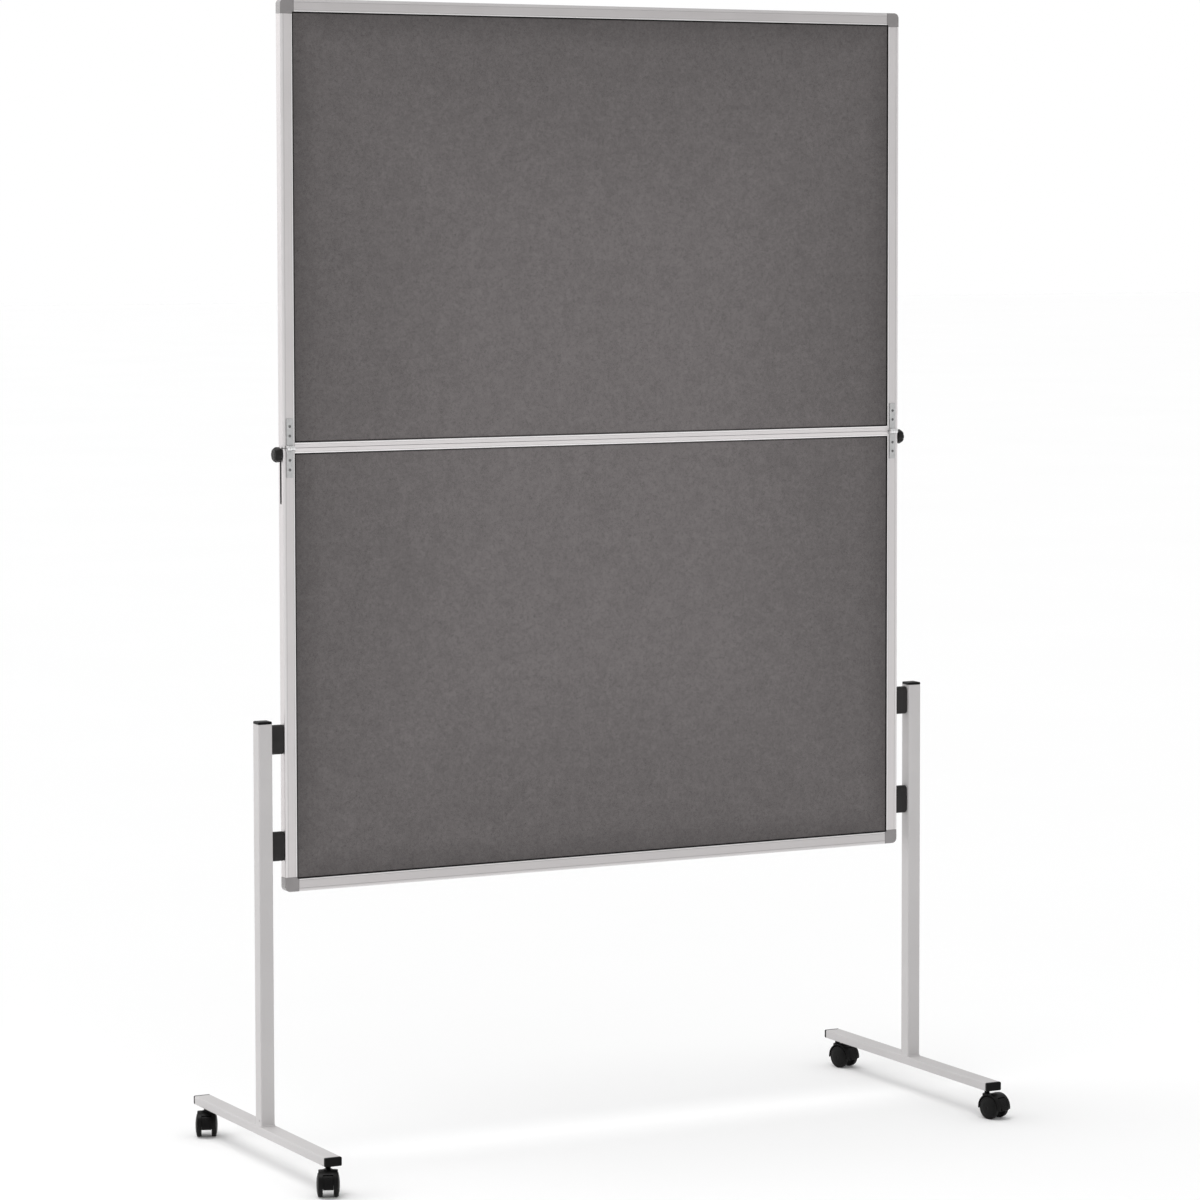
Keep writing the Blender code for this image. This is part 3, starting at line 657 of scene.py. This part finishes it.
def corner_cap(node, side, up):
    """A moulded corner that follows both rails, with soft outer edges, a panel groove and two spigots."""
    low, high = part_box(node)
    half = high.y
    outer_x = high.x if side > 0 else low.x
    outer_z = high.z if up > 0 else low.z
    outline = filleted(
        [
            (0, 0, CAP_RADIUS),
            (CAP_REACH, 0, 0),
            (CAP_REACH, FACE, 0.4 * MM),
            (FACE, FACE, 1.6 * MM),
            (FACE, CAP_REACH, 0.4 * MM),
            (0, CAP_REACH, 0),
        ],
        10,
    )

    def place(across, along, depth):
        return (outer_x - side * across, depth, outer_z - up * along)

    edge = 1.3 * MM
    steps = [(1, 0), (0.8, 0.02), (0.55, 0.11), (0.29, 0.29), (0.11, 0.55), (0.02, 0.8), (0, 1)]
    work = bmesh.new()
    rings = []
    for sign in (-1, 1):
        for amount, depth in steps if sign < 0 else steps[::-1]:
            loop = [soft_corner(point, amount * edge) for point in outline]
            rings.append([work.verts.new(place(*point, sign * (half - depth * edge))) for point in loop])
    for a, b in zip(rings, rings[1:]):
        for i in range(len(a)):
            work.faces.new((a[i - 1], a[i], b[i], b[i - 1]))
    for ring in (rings[0], rings[-1]):
        flat = [Vector((vertex.co.x, vertex.co.z, 0)) for vertex in ring]
        for triangle in tessellate_polygon([flat]):
            work.faces.new([ring[i] for i in triangle])

    def between(start, end, reach):
        corners = list(zip(place(*start, -reach), place(*end, reach)))
        return block([min(pair) for pair in corners], [max(pair) for pair in corners])

    past = CAP_REACH + 1 * MM
    steps = [("DIFFERENCE", between((TUBE, TUBE), (past, past), half - LIP))]
    root, tip = CAP_REACH - 1 * MM, CAP_REACH + SPIGOT_LENGTH
    near, far = SPIGOT_GAP, TUBE - SPIGOT_GAP
    for start, end in (((root, near), (tip, far)), ((near, root), (far, tip))):
        steps.append(("UNION", between(start, end, half - SPIGOT_GAP)))
    return combined(finished(work), *steps)


def soft_corner(point, amount):
    """An outline point moved in from the two outer edges only, so that the ends meet the rails squarely."""
    x, y = point
    if x < CAP_RADIUS and y < CAP_RADIUS:
        away = Vector((x - CAP_RADIUS, y - CAP_RADIUS))
        away *= (away.length - amount) / away.length
        return (CAP_RADIUS + away.x, CAP_RADIUS + away.y)
    if y < 1e-6:
        return (x, amount)
    if x < 1e-6:
        return (amount, y)
    return point


def felt_sheet(node):
    """A sheet of felt, stretched over its core: full in the open field, and pressed flat under the lips.

    Each point holds its distance inside the nearest lip, and its margin from the board's outer lips.
    """
    low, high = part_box(node)
    out = 1 if high.y > 0 else -1
    inner, outer = sorted((abs(low.y), abs(high.y)))
    lip = FACE - TUBE - FIT
    fold = low.z if "upper" in node else high.z
    fold_lip = FOLD_FACE - FOLD_TUBE - FIT
    bottom_lip, top_lip = (fold_lip, lip) if fold == low.z else (lip, fold_lip)
    xs = field_lines(low.x, high.x, lip, lip, 118)
    zs = field_lines(low.z, high.z, bottom_lip, top_lip, 74)

    def inside(x, z):
        return min(x - low.x - lip, high.x - lip - x, z - low.z - bottom_lip, high.z - top_lip - z)

    def height(x, z):
        rise = min(1, max(0, inside(x, z) / (3 * MM)))
        wave = math.sin(x * 23 + 2.1 * math.sin(z * 17)) * math.sin(z * 31 + 1.7 * math.sin(x * 11))
        return outer - 0.2 * MM * (1 - rise * rise * (3 - 2 * rise)) - 0.05 * MM * rise * (1 + wave)

    work = bmesh.new()
    face = [[work.verts.new((x, out * height(x, z), z)) for z in zs] for x in xs]
    back = [[work.verts.new((x, out * inner, z)) for z in zs] for x in xs]
    for grid in (face, back):
        for i in range(len(xs) - 1):
            for j in range(len(zs) - 1):
                work.faces.new((grid[i][j], grid[i + 1][j], grid[i + 1][j + 1], grid[i][j + 1]))
    rims = [[(f[0], b[0]) for f, b in zip(face, back)], [(f[-1], b[-1]) for f, b in zip(face, back)]]
    rims += [list(zip(face[0], back[0])), list(zip(face[-1], back[-1]))]
    for rim in rims:
        for (a, b), (c, d) in zip(rim, rim[1:]):
            work.faces.new((a, c, d, b))
    mesh = marked(finished(work), "inside", lambda point: inside(point.x, point.z))
    outer_z = high.z - top_lip if fold == low.z else low.z + bottom_lip
    reach = high.x - lip
    return marked(mesh, "margin", lambda point: min(reach - abs(point.x), abs(outer_z - point.z)))


def field_lines(low, high, first, last, count):
    """Grid lines that are close where the felt rises from under a lip, and even in the field."""
    steps = (0, 1, 2, 3, 6, 12, 20)
    near = [low, low + first - 1 * MM, *(low + first + k * MM for k in steps)]
    far = [high - last - k * MM for k in reversed(steps)] + [high - last + 1 * MM, high]
    return near + [near[-1] + (far[0] - near[-1]) * k / count for k in range(1, count)] + far


def build_board():
    for panel, up in (("upper", 1), ("lower", -1)):
        for name, side in SIDES.items():
            node = f"{panel}_rail_{name}"
            mesh = rail(node, False, side)
            if panel == "lower":
                mesh = combined(mesh, ("DIFFERENCE", lock_slot(name, side, SLOT_RADIUS)))
                # A black liner in each slot stands in for the shade inside it.
                piece(f"slot_shade_liner_{name}", slot_shade_liner(name, side), "black", body="root")
            piece(f"{node}_extrusion", mesh, "aluminium_z", [node])
            node = f"corner_cap_{panel}_{name}"
            piece(f"{node}_moulding", corner_cap(node, side, up), "grey", [node])
        node = "upper_rail_top" if up > 0 else "lower_rail_bottom"
        piece(f"{node}_extrusion", rail(node, True, up), "aluminium_x", [node])
        node = f"{panel}_fold_rail"
        mesh = rail(node, True, -up, 0.3 * MM, 0, False, 0.25 * MM)
        piece(f"{node}_extrusion", mesh, "aluminium_fold", [node])
        for face in ("front", "back"):
            node = f"{panel}_felt_{face}"
            sheet = piece(f"{node}_sheet", felt_sheet(node), "felt", [node])


# ---------------------------------------------------------------- hinges


def screw_mesh():
    """A countersunk screw about Z, its head's rim at z = 0, with a cross recess."""
    head = [(0, 0.28, 0), (1.5, 0.22, 0.5), (2.4, 0, 0.1), (2.35, -0.12, 0), (1.25, -1.3, 0), (1.2, -4, 0)]
    cuts = []
    for turn in (20, 110):
        cross = block((-1.45 * MM, -0.33 * MM, -0.9 * MM), (1.45 * MM, 0.33 * MM, 1 * MM))
        cuts.append(("DIFFERENCE", moved(cross, Matrix.Rotation(math.radians(turn), 4, "Z"))))
    return combined(lathed([*head, (0, -4.6, 0)], 32, 3), *cuts)


def laid(mesh, start):
    """A mesh made about Z, laid along the hinge's axis from a place on it."""
    return moved(along_x(mesh), Matrix.Translation((start, HINGE_AXIS.y, HINGE_AXIS.z)))


def knuckle(low_x, high_x, direction):
    """A knuckle rolled from the leaf: its barrel, and the strip that runs into the leaf."""
    barrel = laid(cylinder(BARREL_RADIUS, 0, high_x - low_x, 40, 0.35 * MM), low_x)
    levels = sorted((HINGE_AXIS.z, HINGE_AXIS.z + direction * 6.5 * MM))
    strip = block(
        (low_x + 0.02 * MM, LEAF_FRONT + 0.05 * MM, levels[0]),
        (high_x - 0.02 * MM, LEAF_BACK - 0.03 * MM, levels[1]),
    )
    return [("UNION", barrel), ("UNION", strip)]


def hinge_leaf(node, direction):
    """A pressed leaf with round corners and countersunk holes, its knuckles, and the lower leaf's pin."""
    low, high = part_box(node)
    centre = (low.x + high.x) / 2
    split = HINGE_AXIS.z
    near, far = (split + direction * 5 * MM, split + direction * 50 * MM)
    corners = [(-1, min(near, far)), (1, min(near, far)), (1, max(near, far)), (-1, max(near, far))]
    rounds = {near: 0.3 * MM, far: 1.6 * MM}
    outline = filleted([(centre + side * LEAF_HALF, z, rounds[z]) for side, z in corners], 6)
    plate = extruded(outline, lambda x, z, y: (x, y, z), eased(LEAF_FRONT, LEAF_BACK))
    cone = lathed([(0, -0.2, 0), (1.35, -0.2, 0), (1.35, 0.2, 0), (2.95, 1.8, 0), (0, 1.8, 0)], 32, 1)
    steps = []
    for level in SCREW_LEVELS:
        place = Matrix.Translation((centre, LEAF_BACK, split + direction * level))
        steps.append(("DIFFERENCE", moved(along_y(cone, -1), place)))
    start, third = centre - BARREL_LENGTH / 2, BARREL_LENGTH / 3
    if direction < 0:
        spans = [(start, start + third - FIT), (start + 2 * third + FIT, start + 3 * third)]
    else:
        spans = [(start + third, start + 2 * third)]
    for span in spans:
        steps += knuckle(*span, direction)
    end = centre - LEAF_HALF
    if direction < 0:
        steps.append(("UNION", laid(cylinder(PIN_RADIUS, 0, 2 * LEAF_HALF, 24, 0.4 * MM), end)))
    else:
        steps.append(("DIFFERENCE", laid(cylinder(PIN_BORE, 0, 2 * LEAF_HALF, 24), end)))
    return combined(plate, *steps)


def build_hinges():
    screw = screw_mesh()
    for name in SIDES:
        for panel, direction in (("upper", 1), ("lower", -1)):
            node = f"hinge_{panel}_leaf_{name}"
            piece(f"{node}_pressing", hinge_leaf(node, direction), "zinc", [node])
            for number, level in enumerate(SCREW_LEVELS, 1):
                place = (middle(node).x, LEAF_FRONT + 0.08 * MM, HINGE_AXIS.z + direction * level)
                turn = Matrix.Rotation(0.7 * number + direction, 4, "Y")
                matrix = Matrix.Translation(place) @ turn @ Matrix.Rotation(math.pi / 2, 4, "X")
                screw_name = f"hinge_screw_{panel}_{name}_{number}"
                piece(screw_name, screw, "screw", body=PANEL_BODY[panel], matrix=matrix)


# ---------------------------------------------------------------- locks


def knob_mesh():
    """A lobed clamping knob about Z with a domed top, a shallow ring on it, and its stud."""
    profile = [(0, 13.6, 0), (5.2, 13.75, 1), (6.0, 13.3, 0.3), (6.8, 13.7, 0.6), (10.6, 13.2, 2.5)]
    profile += [(13.0, 9.2, 3), (12.7, 2.2, 1.6), (8.5, 0.6, 1.2), (2.2, 0.6, 0), (2.2, -5.2, 0)]

    def lobes(radius, height, angle):
        share = min(1, max(0, (radius - 8.5 * MM) / (3 * MM)))
        dip = (0.5 - 0.5 * math.cos(8 * angle)) ** 1.5
        return radius - 0.9 * MM * share * dip

    return lathed([*profile, (0, -5.2, 0)], 128, 6, lobes)


def build_locks():
    knob = knob_mesh()
    for name, side in SIDES.items():
        place = Matrix.Translation(JOINTS[f"knob_turn_{name}"]["pos_m"])
        matrix = place @ Matrix.Rotation(side * math.pi / 2, 4, "Y")
        node = f"lock_knob_{name}"
        piece(f"{node}_moulding", knob, "knob", [node], matrix=matrix)


# ---------------------------------------------------------------- stand


def tube_section(low, high, axis):
    """A tube's outline and its hole, across X and the other axis given."""
    walls = ((0, CORNER), (TUBE_WALL, CORNER / 2))
    return [
        rounded_box((low.x + wall, low[axis] + wall), (high.x - wall, high[axis] - wall), radius)
        for wall, radius in walls
    ]


def upright(node):
    """A square tube with round corners, the weld bead round its foot, and a small drain hole."""
    low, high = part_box(node)
    outline, hole = tube_section(low, high, 1)
    stations = [
        (low.z - 0.25 * MM, -WELD),
        (low.z + 0.3 * MM, -WELD),
        (low.z + 0.9 * MM, -0.75 * WELD),
        (low.z + 1.5 * MM, -0.3 * WELD),
        (low.z + 2.0 * MM, 0),
        (high.z - 0.3 * MM, 0),
        (high.z, 0.25 * MM),
    ]
    tube = extruded(outline, lambda x, y, z: (x, y, z), stations, hole)
    side = 1 if low.x > 0 else -1
    drill = cylinder(1.4 * MM, -3 * MM, 3 * MM, 24)
    outer = high.x if side > 0 else low.x
    place = Matrix.Translation((outer, low.y + 8 * MM, low.z + 9 * MM))
    return combined(tube, ("DIFFERENCE", moved(along_x(drill), place)))


def upright_cap(node):
    """An end plug: its spigot is in the tube, and its head has a soft, slightly raised top."""
    low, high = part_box(node)
    outline, _ = tube_section(low, high, 1)
    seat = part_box(node.replace("upright_cap", "upright"))[1].z + FIT
    spigot = TUBE_WALL + FIT
    stations = [
        (low.z, spigot + 0.6 * MM),
        (low.z + 1 * MM, spigot),
        (seat, spigot),
        (seat, 0.25 * MM),
        (seat + 0.25 * MM, 0),
        (high.z - 1.9 * MM, 0),
        (high.z - 1.45 * MM, 0.15 * MM),
        (high.z - 0.95 * MM, 0.55 * MM),
        (high.z - 0.65 * MM, 1.2 * MM),
        (high.z - 0.4 * MM, 1.2 * MM, 0.12),
        (high.z - 0.2 * MM, 1.2 * MM, 0.3),
        (high.z - 0.05 * MM, 1.2 * MM, 0.55),
        (high.z, 1.2 * MM, 0.8),
    ]
    return extruded(outline, lambda x, y, z: (x, y, z), stations)


def foot(node, name):
    """A flat tube with round corners, with a hole in its underside for each castor's stem."""
    low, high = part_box(node)
    outline, hole = tube_section(low, high, 2)
    tube = extruded(outline, lambda x, z, y: (x, y, z), eased(low.y, high.y, 0.4 * MM), hole)
    steps = []
    for end in ENDS:
        x, y, _ = JOINTS[f"swivel_{name}_{end}"]["pos_m"]
        bore = cylinder(STEM_BORE, 0, 4 * MM, 32)
        steps.append(("DIFFERENCE", moved(bore, Matrix.Translation((x, y, low.z - 1 * MM)))))
    return combined(tube, *steps)


def foot_cap(node, end):
    """An end plug for a foot, with round corners and a soft face."""
    low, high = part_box(node)
    outline, _ = tube_section(low, high, 2)
    outer = high.y if end > 0 else -low.y
    seat = outer - FOOT_CAP_HEAD
    spigot = TUBE_WALL + FIT
    stations = [
        (seat - 12 * MM, spigot + 0.5 * MM),
        (seat - 11 * MM, spigot),
        (seat, spigot),
        (seat, 0.2 * MM),
        (seat + 0.2 * MM, 0),
        (outer - 1.3 * MM, 0),
        (outer - 0.8 * MM, 0.15 * MM),
        (outer - 0.35 * MM, 0.5 * MM),
        (outer - 0.1 * MM, 1.0 * MM),
        (outer, 1.0 * MM, 0.12),
    ]
    return extruded(outline, lambda x, z, y: (x, end * y, z), stations)


def spacer(node):
    """A moulded spacer block, rounded at its top and bottom, with soft edges."""
    low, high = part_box(node)
    outline = rounded_box((low.y, low.z), (high.y, high.z), SPACER_RADIUS, 12)
    soft = 1.8 * MM
    rim = [(soft * (1 - math.cos(a)), soft * (1 - math.sin(a))) for a in (math.pi / 16 * k for k in range(9))]
    stations = [(low.x + along, amount) for along, amount in rim]
    stations += [(high.x - along, amount) for along, amount in reversed(rim)]
    return extruded(outline, lambda y, z, x: (x, y, z), stations)


def foot_plug():
    """A small domed plug in a foot's underside, about Z and hanging below z = 0."""
    rim, arc = 0.5 * MM, 1.3
    profile = [(0, 0.4 * MM), (PLUG_RADIUS - 1 * MM, 0.4 * MM), (PLUG_RADIUS, 0), (PLUG_RADIUS, -rim)]
    dome = (PLUG_DEPTH - rim) / (1 - math.cos(arc))
    for turn in (1.05, 0.8, 0.5, 0.25):
        radius = PLUG_RADIUS * math.sin(turn) / math.sin(arc)
        profile.append((radius, -rim - dome * (math.cos(turn) - math.cos(arc))))
    return turned(profile + [(0, -PLUG_DEPTH)], 40)


def build_stand():
    plug = foot_plug()
    for name in SIDES:
        piece(f"upright_{name}_tube", upright(f"upright_{name}"), "paint", [f"upright_{name}"])
        node = f"upright_cap_{name}"
        piece(f"{node}_moulding", upright_cap(node), "black", [node])
        piece(f"foot_{name}_tube", foot(f"foot_{name}", name), "paint", [f"foot_{name}"])
        for level in ("lower", "upper"):
            node = f"spacer_{name}_{level}"
            piece(f"{node}_moulding", spacer(node), "spacer", [node])
        low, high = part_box(f"foot_{name}")
        for end, y in zip(ENDS, PLUG_PLACES):
            node = f"foot_cap_{name}_{end}"
            piece(f"{node}_moulding", foot_cap(node, ENDS[end]), "black", [node])
            matrix = Matrix.Translation(((low.x + high.x) / 2, y, low.z))
            piece(f"foot_plug_{name}_{end}", plug, "plug", body="root", matrix=matrix)


# ---------------------------------------------------------------- castors


def around(radius, angle):
    """A point at a radius and an angle in degrees about the axle, as (along the trail, up)."""
    turn = math.radians(angle)
    return (AXLE.x + radius * math.cos(turn), AXLE.z + radius * math.sin(turn))


def band(half, inner, outer, start, end):
    """A curved plate about the axle, crowned a little, with round edges."""
    crown, ease, steps = outer - 0.5 * MM, 0.9 * MM, 44
    outline = filleted(
        [
            (-half, inner, 0.4 * MM),
            (half, inner, 0.4 * MM),
            (half, crown, ease),
            (half * 0.6, outer, 3 * MM),
            (-half * 0.6, outer, 3 * MM),
            (-half, crown, ease),
        ],
        4,
    )
    soft = 0.35 * MM
    tip = math.degrees(soft / outer)
    angles = [start + tip + (end - start - 2 * tip) * k / steps for k in range(steps + 1)]
    stations = [(start, soft), (start + 0.3 * tip, 0.3 * soft)] + [(angle, 0) for angle in angles]
    stations += [(end - 0.3 * tip, 0.3 * soft), (end, soft)]

    def place(y, radius, angle):
        along, up = around(radius, angle)
        return (along, y, up)

    return extruded(outline, place, stations)


def side_plate(outline, half, ease=0.8 * MM):
    """An outline in the plane of the wheels, as (along the trail, up), with a thickness across them."""
    return extruded(outline, lambda along, up, y: (along, y, up), eased(-half, half, ease))


def hood_mesh():
    """The castor's body: a web between the wheels, a fender over them, the stem's socket, the axle."""
    dip = math.degrees(math.asin(-WEB_DROP / WEB_RADIUS))
    web = side_plate([around(WEB_RADIUS, dip + (180 - 2 * dip) * k / 48) for k in range(49)], WEB_HALF)
    pocket = [around(28 * MM, angle) for angle in range(-30, 51, 20)]
    pocket += [around(21.2 * MM, angle) for angle in range(50, -31, -10)]
    floor, ceiling = 25.8 * MM, 50 * MM
    socket = filleted(
        [
            (0, 24 * MM, 0),
            (SOCKET_RADIUS, 24 * MM, 0),
            (SOCKET_RADIUS, 38 * MM, 0),
            (SOCKET_RADIUS, SOCKET_TOP, 1.2 * MM),
            (STEM_BORE, SOCKET_TOP, 0.3 * MM),
            (STEM_BORE, floor, 0),
            (0, floor, 0),
        ],
        4,
        False,
    )
    axle = cylinder(AXLE_RADIUS, -AXLE_HALF, AXLE_HALF, 24)
    bore = cylinder(STEM_BORE, floor, ceiling, 32)
    return combined(
        web,
        ("UNION", band(FENDER_HALF, FENDER_INNER, FENDER_OUTER, -6, 186)),
        ("DIFFERENCE", side_plate(pocket, WEB_HALF + 0.1 * MM, 0.1 * MM)),
        ("UNION", turned(socket, 48)),
        ("UNION", moved(along_y(axle), Matrix.Translation(AXLE))),
        ("DIFFERENCE", bore),
    )


def pedal_mesh():
    """The brake pedal: it continues the fender, with a dimple by its pivot, grip ribs and a raised lip."""
    outline = [around(24.9 * MM, 45 - 36 * k / 14) for k in range(15)]
    outline += [around(25.2 * MM, 5), around(26.0 * MM, 1), around(27.2 * MM, -2.6), around(27.9 * MM, -4.8)]
    outline += [around(27.5 * MM, -6.2), around(25.5 * MM, -6.9)]
    outline += [around(22.3 * MM, -7 + 52 * k / 16) for k in range(17)]
    pedal = side_plate(outline, 8.2 * MM, 0.6 * MM)
    along, up = around(26.1 * MM, 33)
    ball = bmesh.new()
    bmesh.ops.create_uvsphere(ball, u_segments=24, v_segments=14, radius=1.9 * MM)
    bmesh.ops.translate(ball, vec=(along, 0, up), verts=ball.verts)
    ribs = []
    for angle in (3, 8, 13):
        x, z = around(24.9 * MM, angle)
        rib = block((-0.35 * MM, -5.5 * MM, -0.35 * MM), (0.35 * MM, 5.5 * MM, 0.35 * MM), 0.12 * MM)
        place = Matrix.Translation((x, 0, z)) @ Matrix.Rotation(-math.radians(angle), 4, "Y")
        ribs.append(("UNION", moved(rib, place)))
    return combined(pedal, ("DIFFERENCE", finished(ball)), *ribs)


def wheel_mesh():
    """One of a castor's wheels, about Z: round shoulders, a fine groove, a domed face and a hub dimple."""
    radius = WHEEL_RADIUS / MM
    profile = [(0, 9, 0), (2.8, 9, 0), (2.8, 0, 0.3), (radius, 0, 1.6), (radius, 8, 2)]
    profile += [(17.7, 8.35, 0.4), (17.3, 7.85, 0.25), (16.7, 8.55, 0.5), (11, 9.8, 8)]
    profile += [(4.2, 10.35, 3), (2.6, 10.3, 0.6), (2.0, 9.9, 0.4), (0, 9.9, 0)]
    return lathed(profile, 96, 6)


def stem_mesh():
    """The swivel stem, with its collar, and above it the flange that bears on the foot."""
    profile = [(0, 62, 0), (4, 62, 0.8), (4, 49.7, 0), (5.9, 49.7, 0.3), (5.9, 48.5, 0.4), (4.6, 47.8, 0.3)]
    profile += [(4.6, 43.6, 0.6), (5.3, 42.3, 0.2), (4, 42.3, 0), (4, 26.1, 0.8), (0, 26.1, 0)]
    return lathed(profile, 48, 4)


def build_castors():
    stem, hood, pedal, wheel = stem_mesh(), hood_mesh(), pedal_mesh(), wheel_mesh()
    for name in SIDES:
        for end in ENDS:
            corner = f"{name}_{end}"
            x, y, _ = JOINTS[f"swivel_{corner}"]["pos_m"]
            pivot = Vector((x, y, 0))
            trail = Vector(JOINTS[f"roll_{corner}_a"]["pos_m"]) - pivot
            heading = math.atan2(trail.y, trail.x)
            swivel = Matrix.Translation(pivot) @ Matrix.Rotation(heading, 4, "Z")
            castor_piece(f"castor_stem_{corner}", stem, "castor", swivel)
            castor_piece(f"castor_hood_{corner}", hood, "castor", swivel)
            castor_piece(f"brake_pedal_{corner}", pedal, "castor", swivel)
            for letter, out in (("a", 1), ("b", -1)):
                turn = Matrix.Rotation(-out * math.pi / 2, 4, "X")
                place = Matrix.Translation(AXLE + Vector((0, out * WHEEL_INNER, 0)))
                castor_piece(f"castor_wheel_{corner}_{letter}", wheel, "wheel", swivel @ place @ turn)


def castor_piece(node, mesh, shade, matrix):
    piece(f"{node}_moulding", mesh, shade, [node], matrix=matrix)


def build():
    """Every piece, and the materials of the CAD nodes that stay."""
    build_board()
    build_hinges()
    build_locks()
    build_stand()
    build_castors()
    # The lock bars take the dark steel, as painted shade in their slots.
    kept = {"core": "core", "lock_bar": "dark_steel"}
    for node, obj in NODES.items():
        for word, shade in kept.items():
            if word in node:
                obj.data.materials.clear()
                obj.data.materials.append(SHADES[shade])


# ---------------------------------------------------------------- stage


def build_floor():
    mesh = bpy.data.meshes.new("floor")
    size = 60.0
    corners = [(-size, -size, 0), (size, -size, 0), (size, size, 0), (-size, size, 0)]
    mesh.from_pydata(corners, [], [(0, 1, 2, 3)])
    floor = linked("floor", mesh)
    shade = Shade("pale_floor", Roughness=0.85, Specular_IOR_Level=0.2)
    cloud = shade.noise(0.8, detail=3)
    shade.set("Base Color", shade.mixed(cloud, (0.93, 0.93, 0.93, 1), (0.95, 0.95, 0.95, 1)))
    mesh.materials.append(shade.material)


def build_world():
    """A white studio, brightest behind on the left. The camera sees it as plain white."""
    world = bpy.data.worlds.new("studio")
    bpy.context.scene.world = world
    world.use_nodes = True
    tree = world.node_tree
    background = tree.nodes["Background"]
    place = tree.nodes.new("ShaderNodeTexCoord")
    toward = tree.nodes.new("ShaderNodeVectorMath")
    toward.operation = "DOT_PRODUCT"
    toward.inputs[1].default_value = BRIGHT_SIDE
    level = tree.nodes.new("ShaderNodeMapRange")
    level.interpolation_type = "SMOOTHSTEP"
    for name, number in (("From Min", 0.3), ("From Max", 1), ("To Min", DIM), ("To Max", BRIGHT)):
        level.inputs[name].default_value = number
    seen = tree.nodes.new("ShaderNodeLightPath")
    shown = tree.nodes.new("ShaderNodeMix")
    tree.links.new(place.outputs["Generated"], toward.inputs[0])
    tree.links.new(toward.outputs["Value"], level.inputs["Value"])
    tree.links.new(seen.outputs["Is Camera Ray"], shown.inputs["Factor"])
    tree.links.new(level.outputs["Result"], shown.inputs["A"])
    shown.inputs["B"].default_value = 1.0
    tree.links.new(shown.outputs["Result"], background.inputs["Strength"])
    background.inputs["Color"].default_value = (1, 1, 1, 1)


def build_camera():
    data = bpy.data.cameras.new("camera")
    data.sensor_width = 36
    data.lens = 130.77
    data.shift_x = -0.1
    data.shift_y = -0.09
    data.clip_end = 200
    camera = linked("camera", data)
    camera.location = (-3.4515, -6.7581, 1.6174)
    camera.rotation_euler = (math.radians(90 - 3.772), 0, math.radians(-28.642))
    bpy.context.scene.camera = camera


def panel_light(name, size, energy, location, rotation):
    """A soft square light that is seen neither directly nor in reflections."""
    data = bpy.data.lights.new(name, "AREA")
    data.size = size
    data.energy = energy
    light = linked(name, data)
    light.visible_camera = False
    light.visible_glossy = False
    light.location = location
    light.rotation_euler = rotation


def build_stage():
    build_floor()
    build_world()
    sun = bpy.data.lights.new("top_light", "SUN")
    sun.energy = 1.0
    sun.angle = math.radians(35)
    light = linked("top_light", sun)
    light.rotation_euler = (0, math.radians(-12), 0)
    panel_light("side_light", 1.2, 6, (-2.4, 0.3, 1.0), (0, math.radians(-90), 0))
    panel_light("front_light", 0.5, 3, (0, -1.7, 0.85), (math.radians(90), 0, 0))
    build_camera()
    bpy.context.scene.view_settings.view_transform = "Standard"


build()
build_stage()
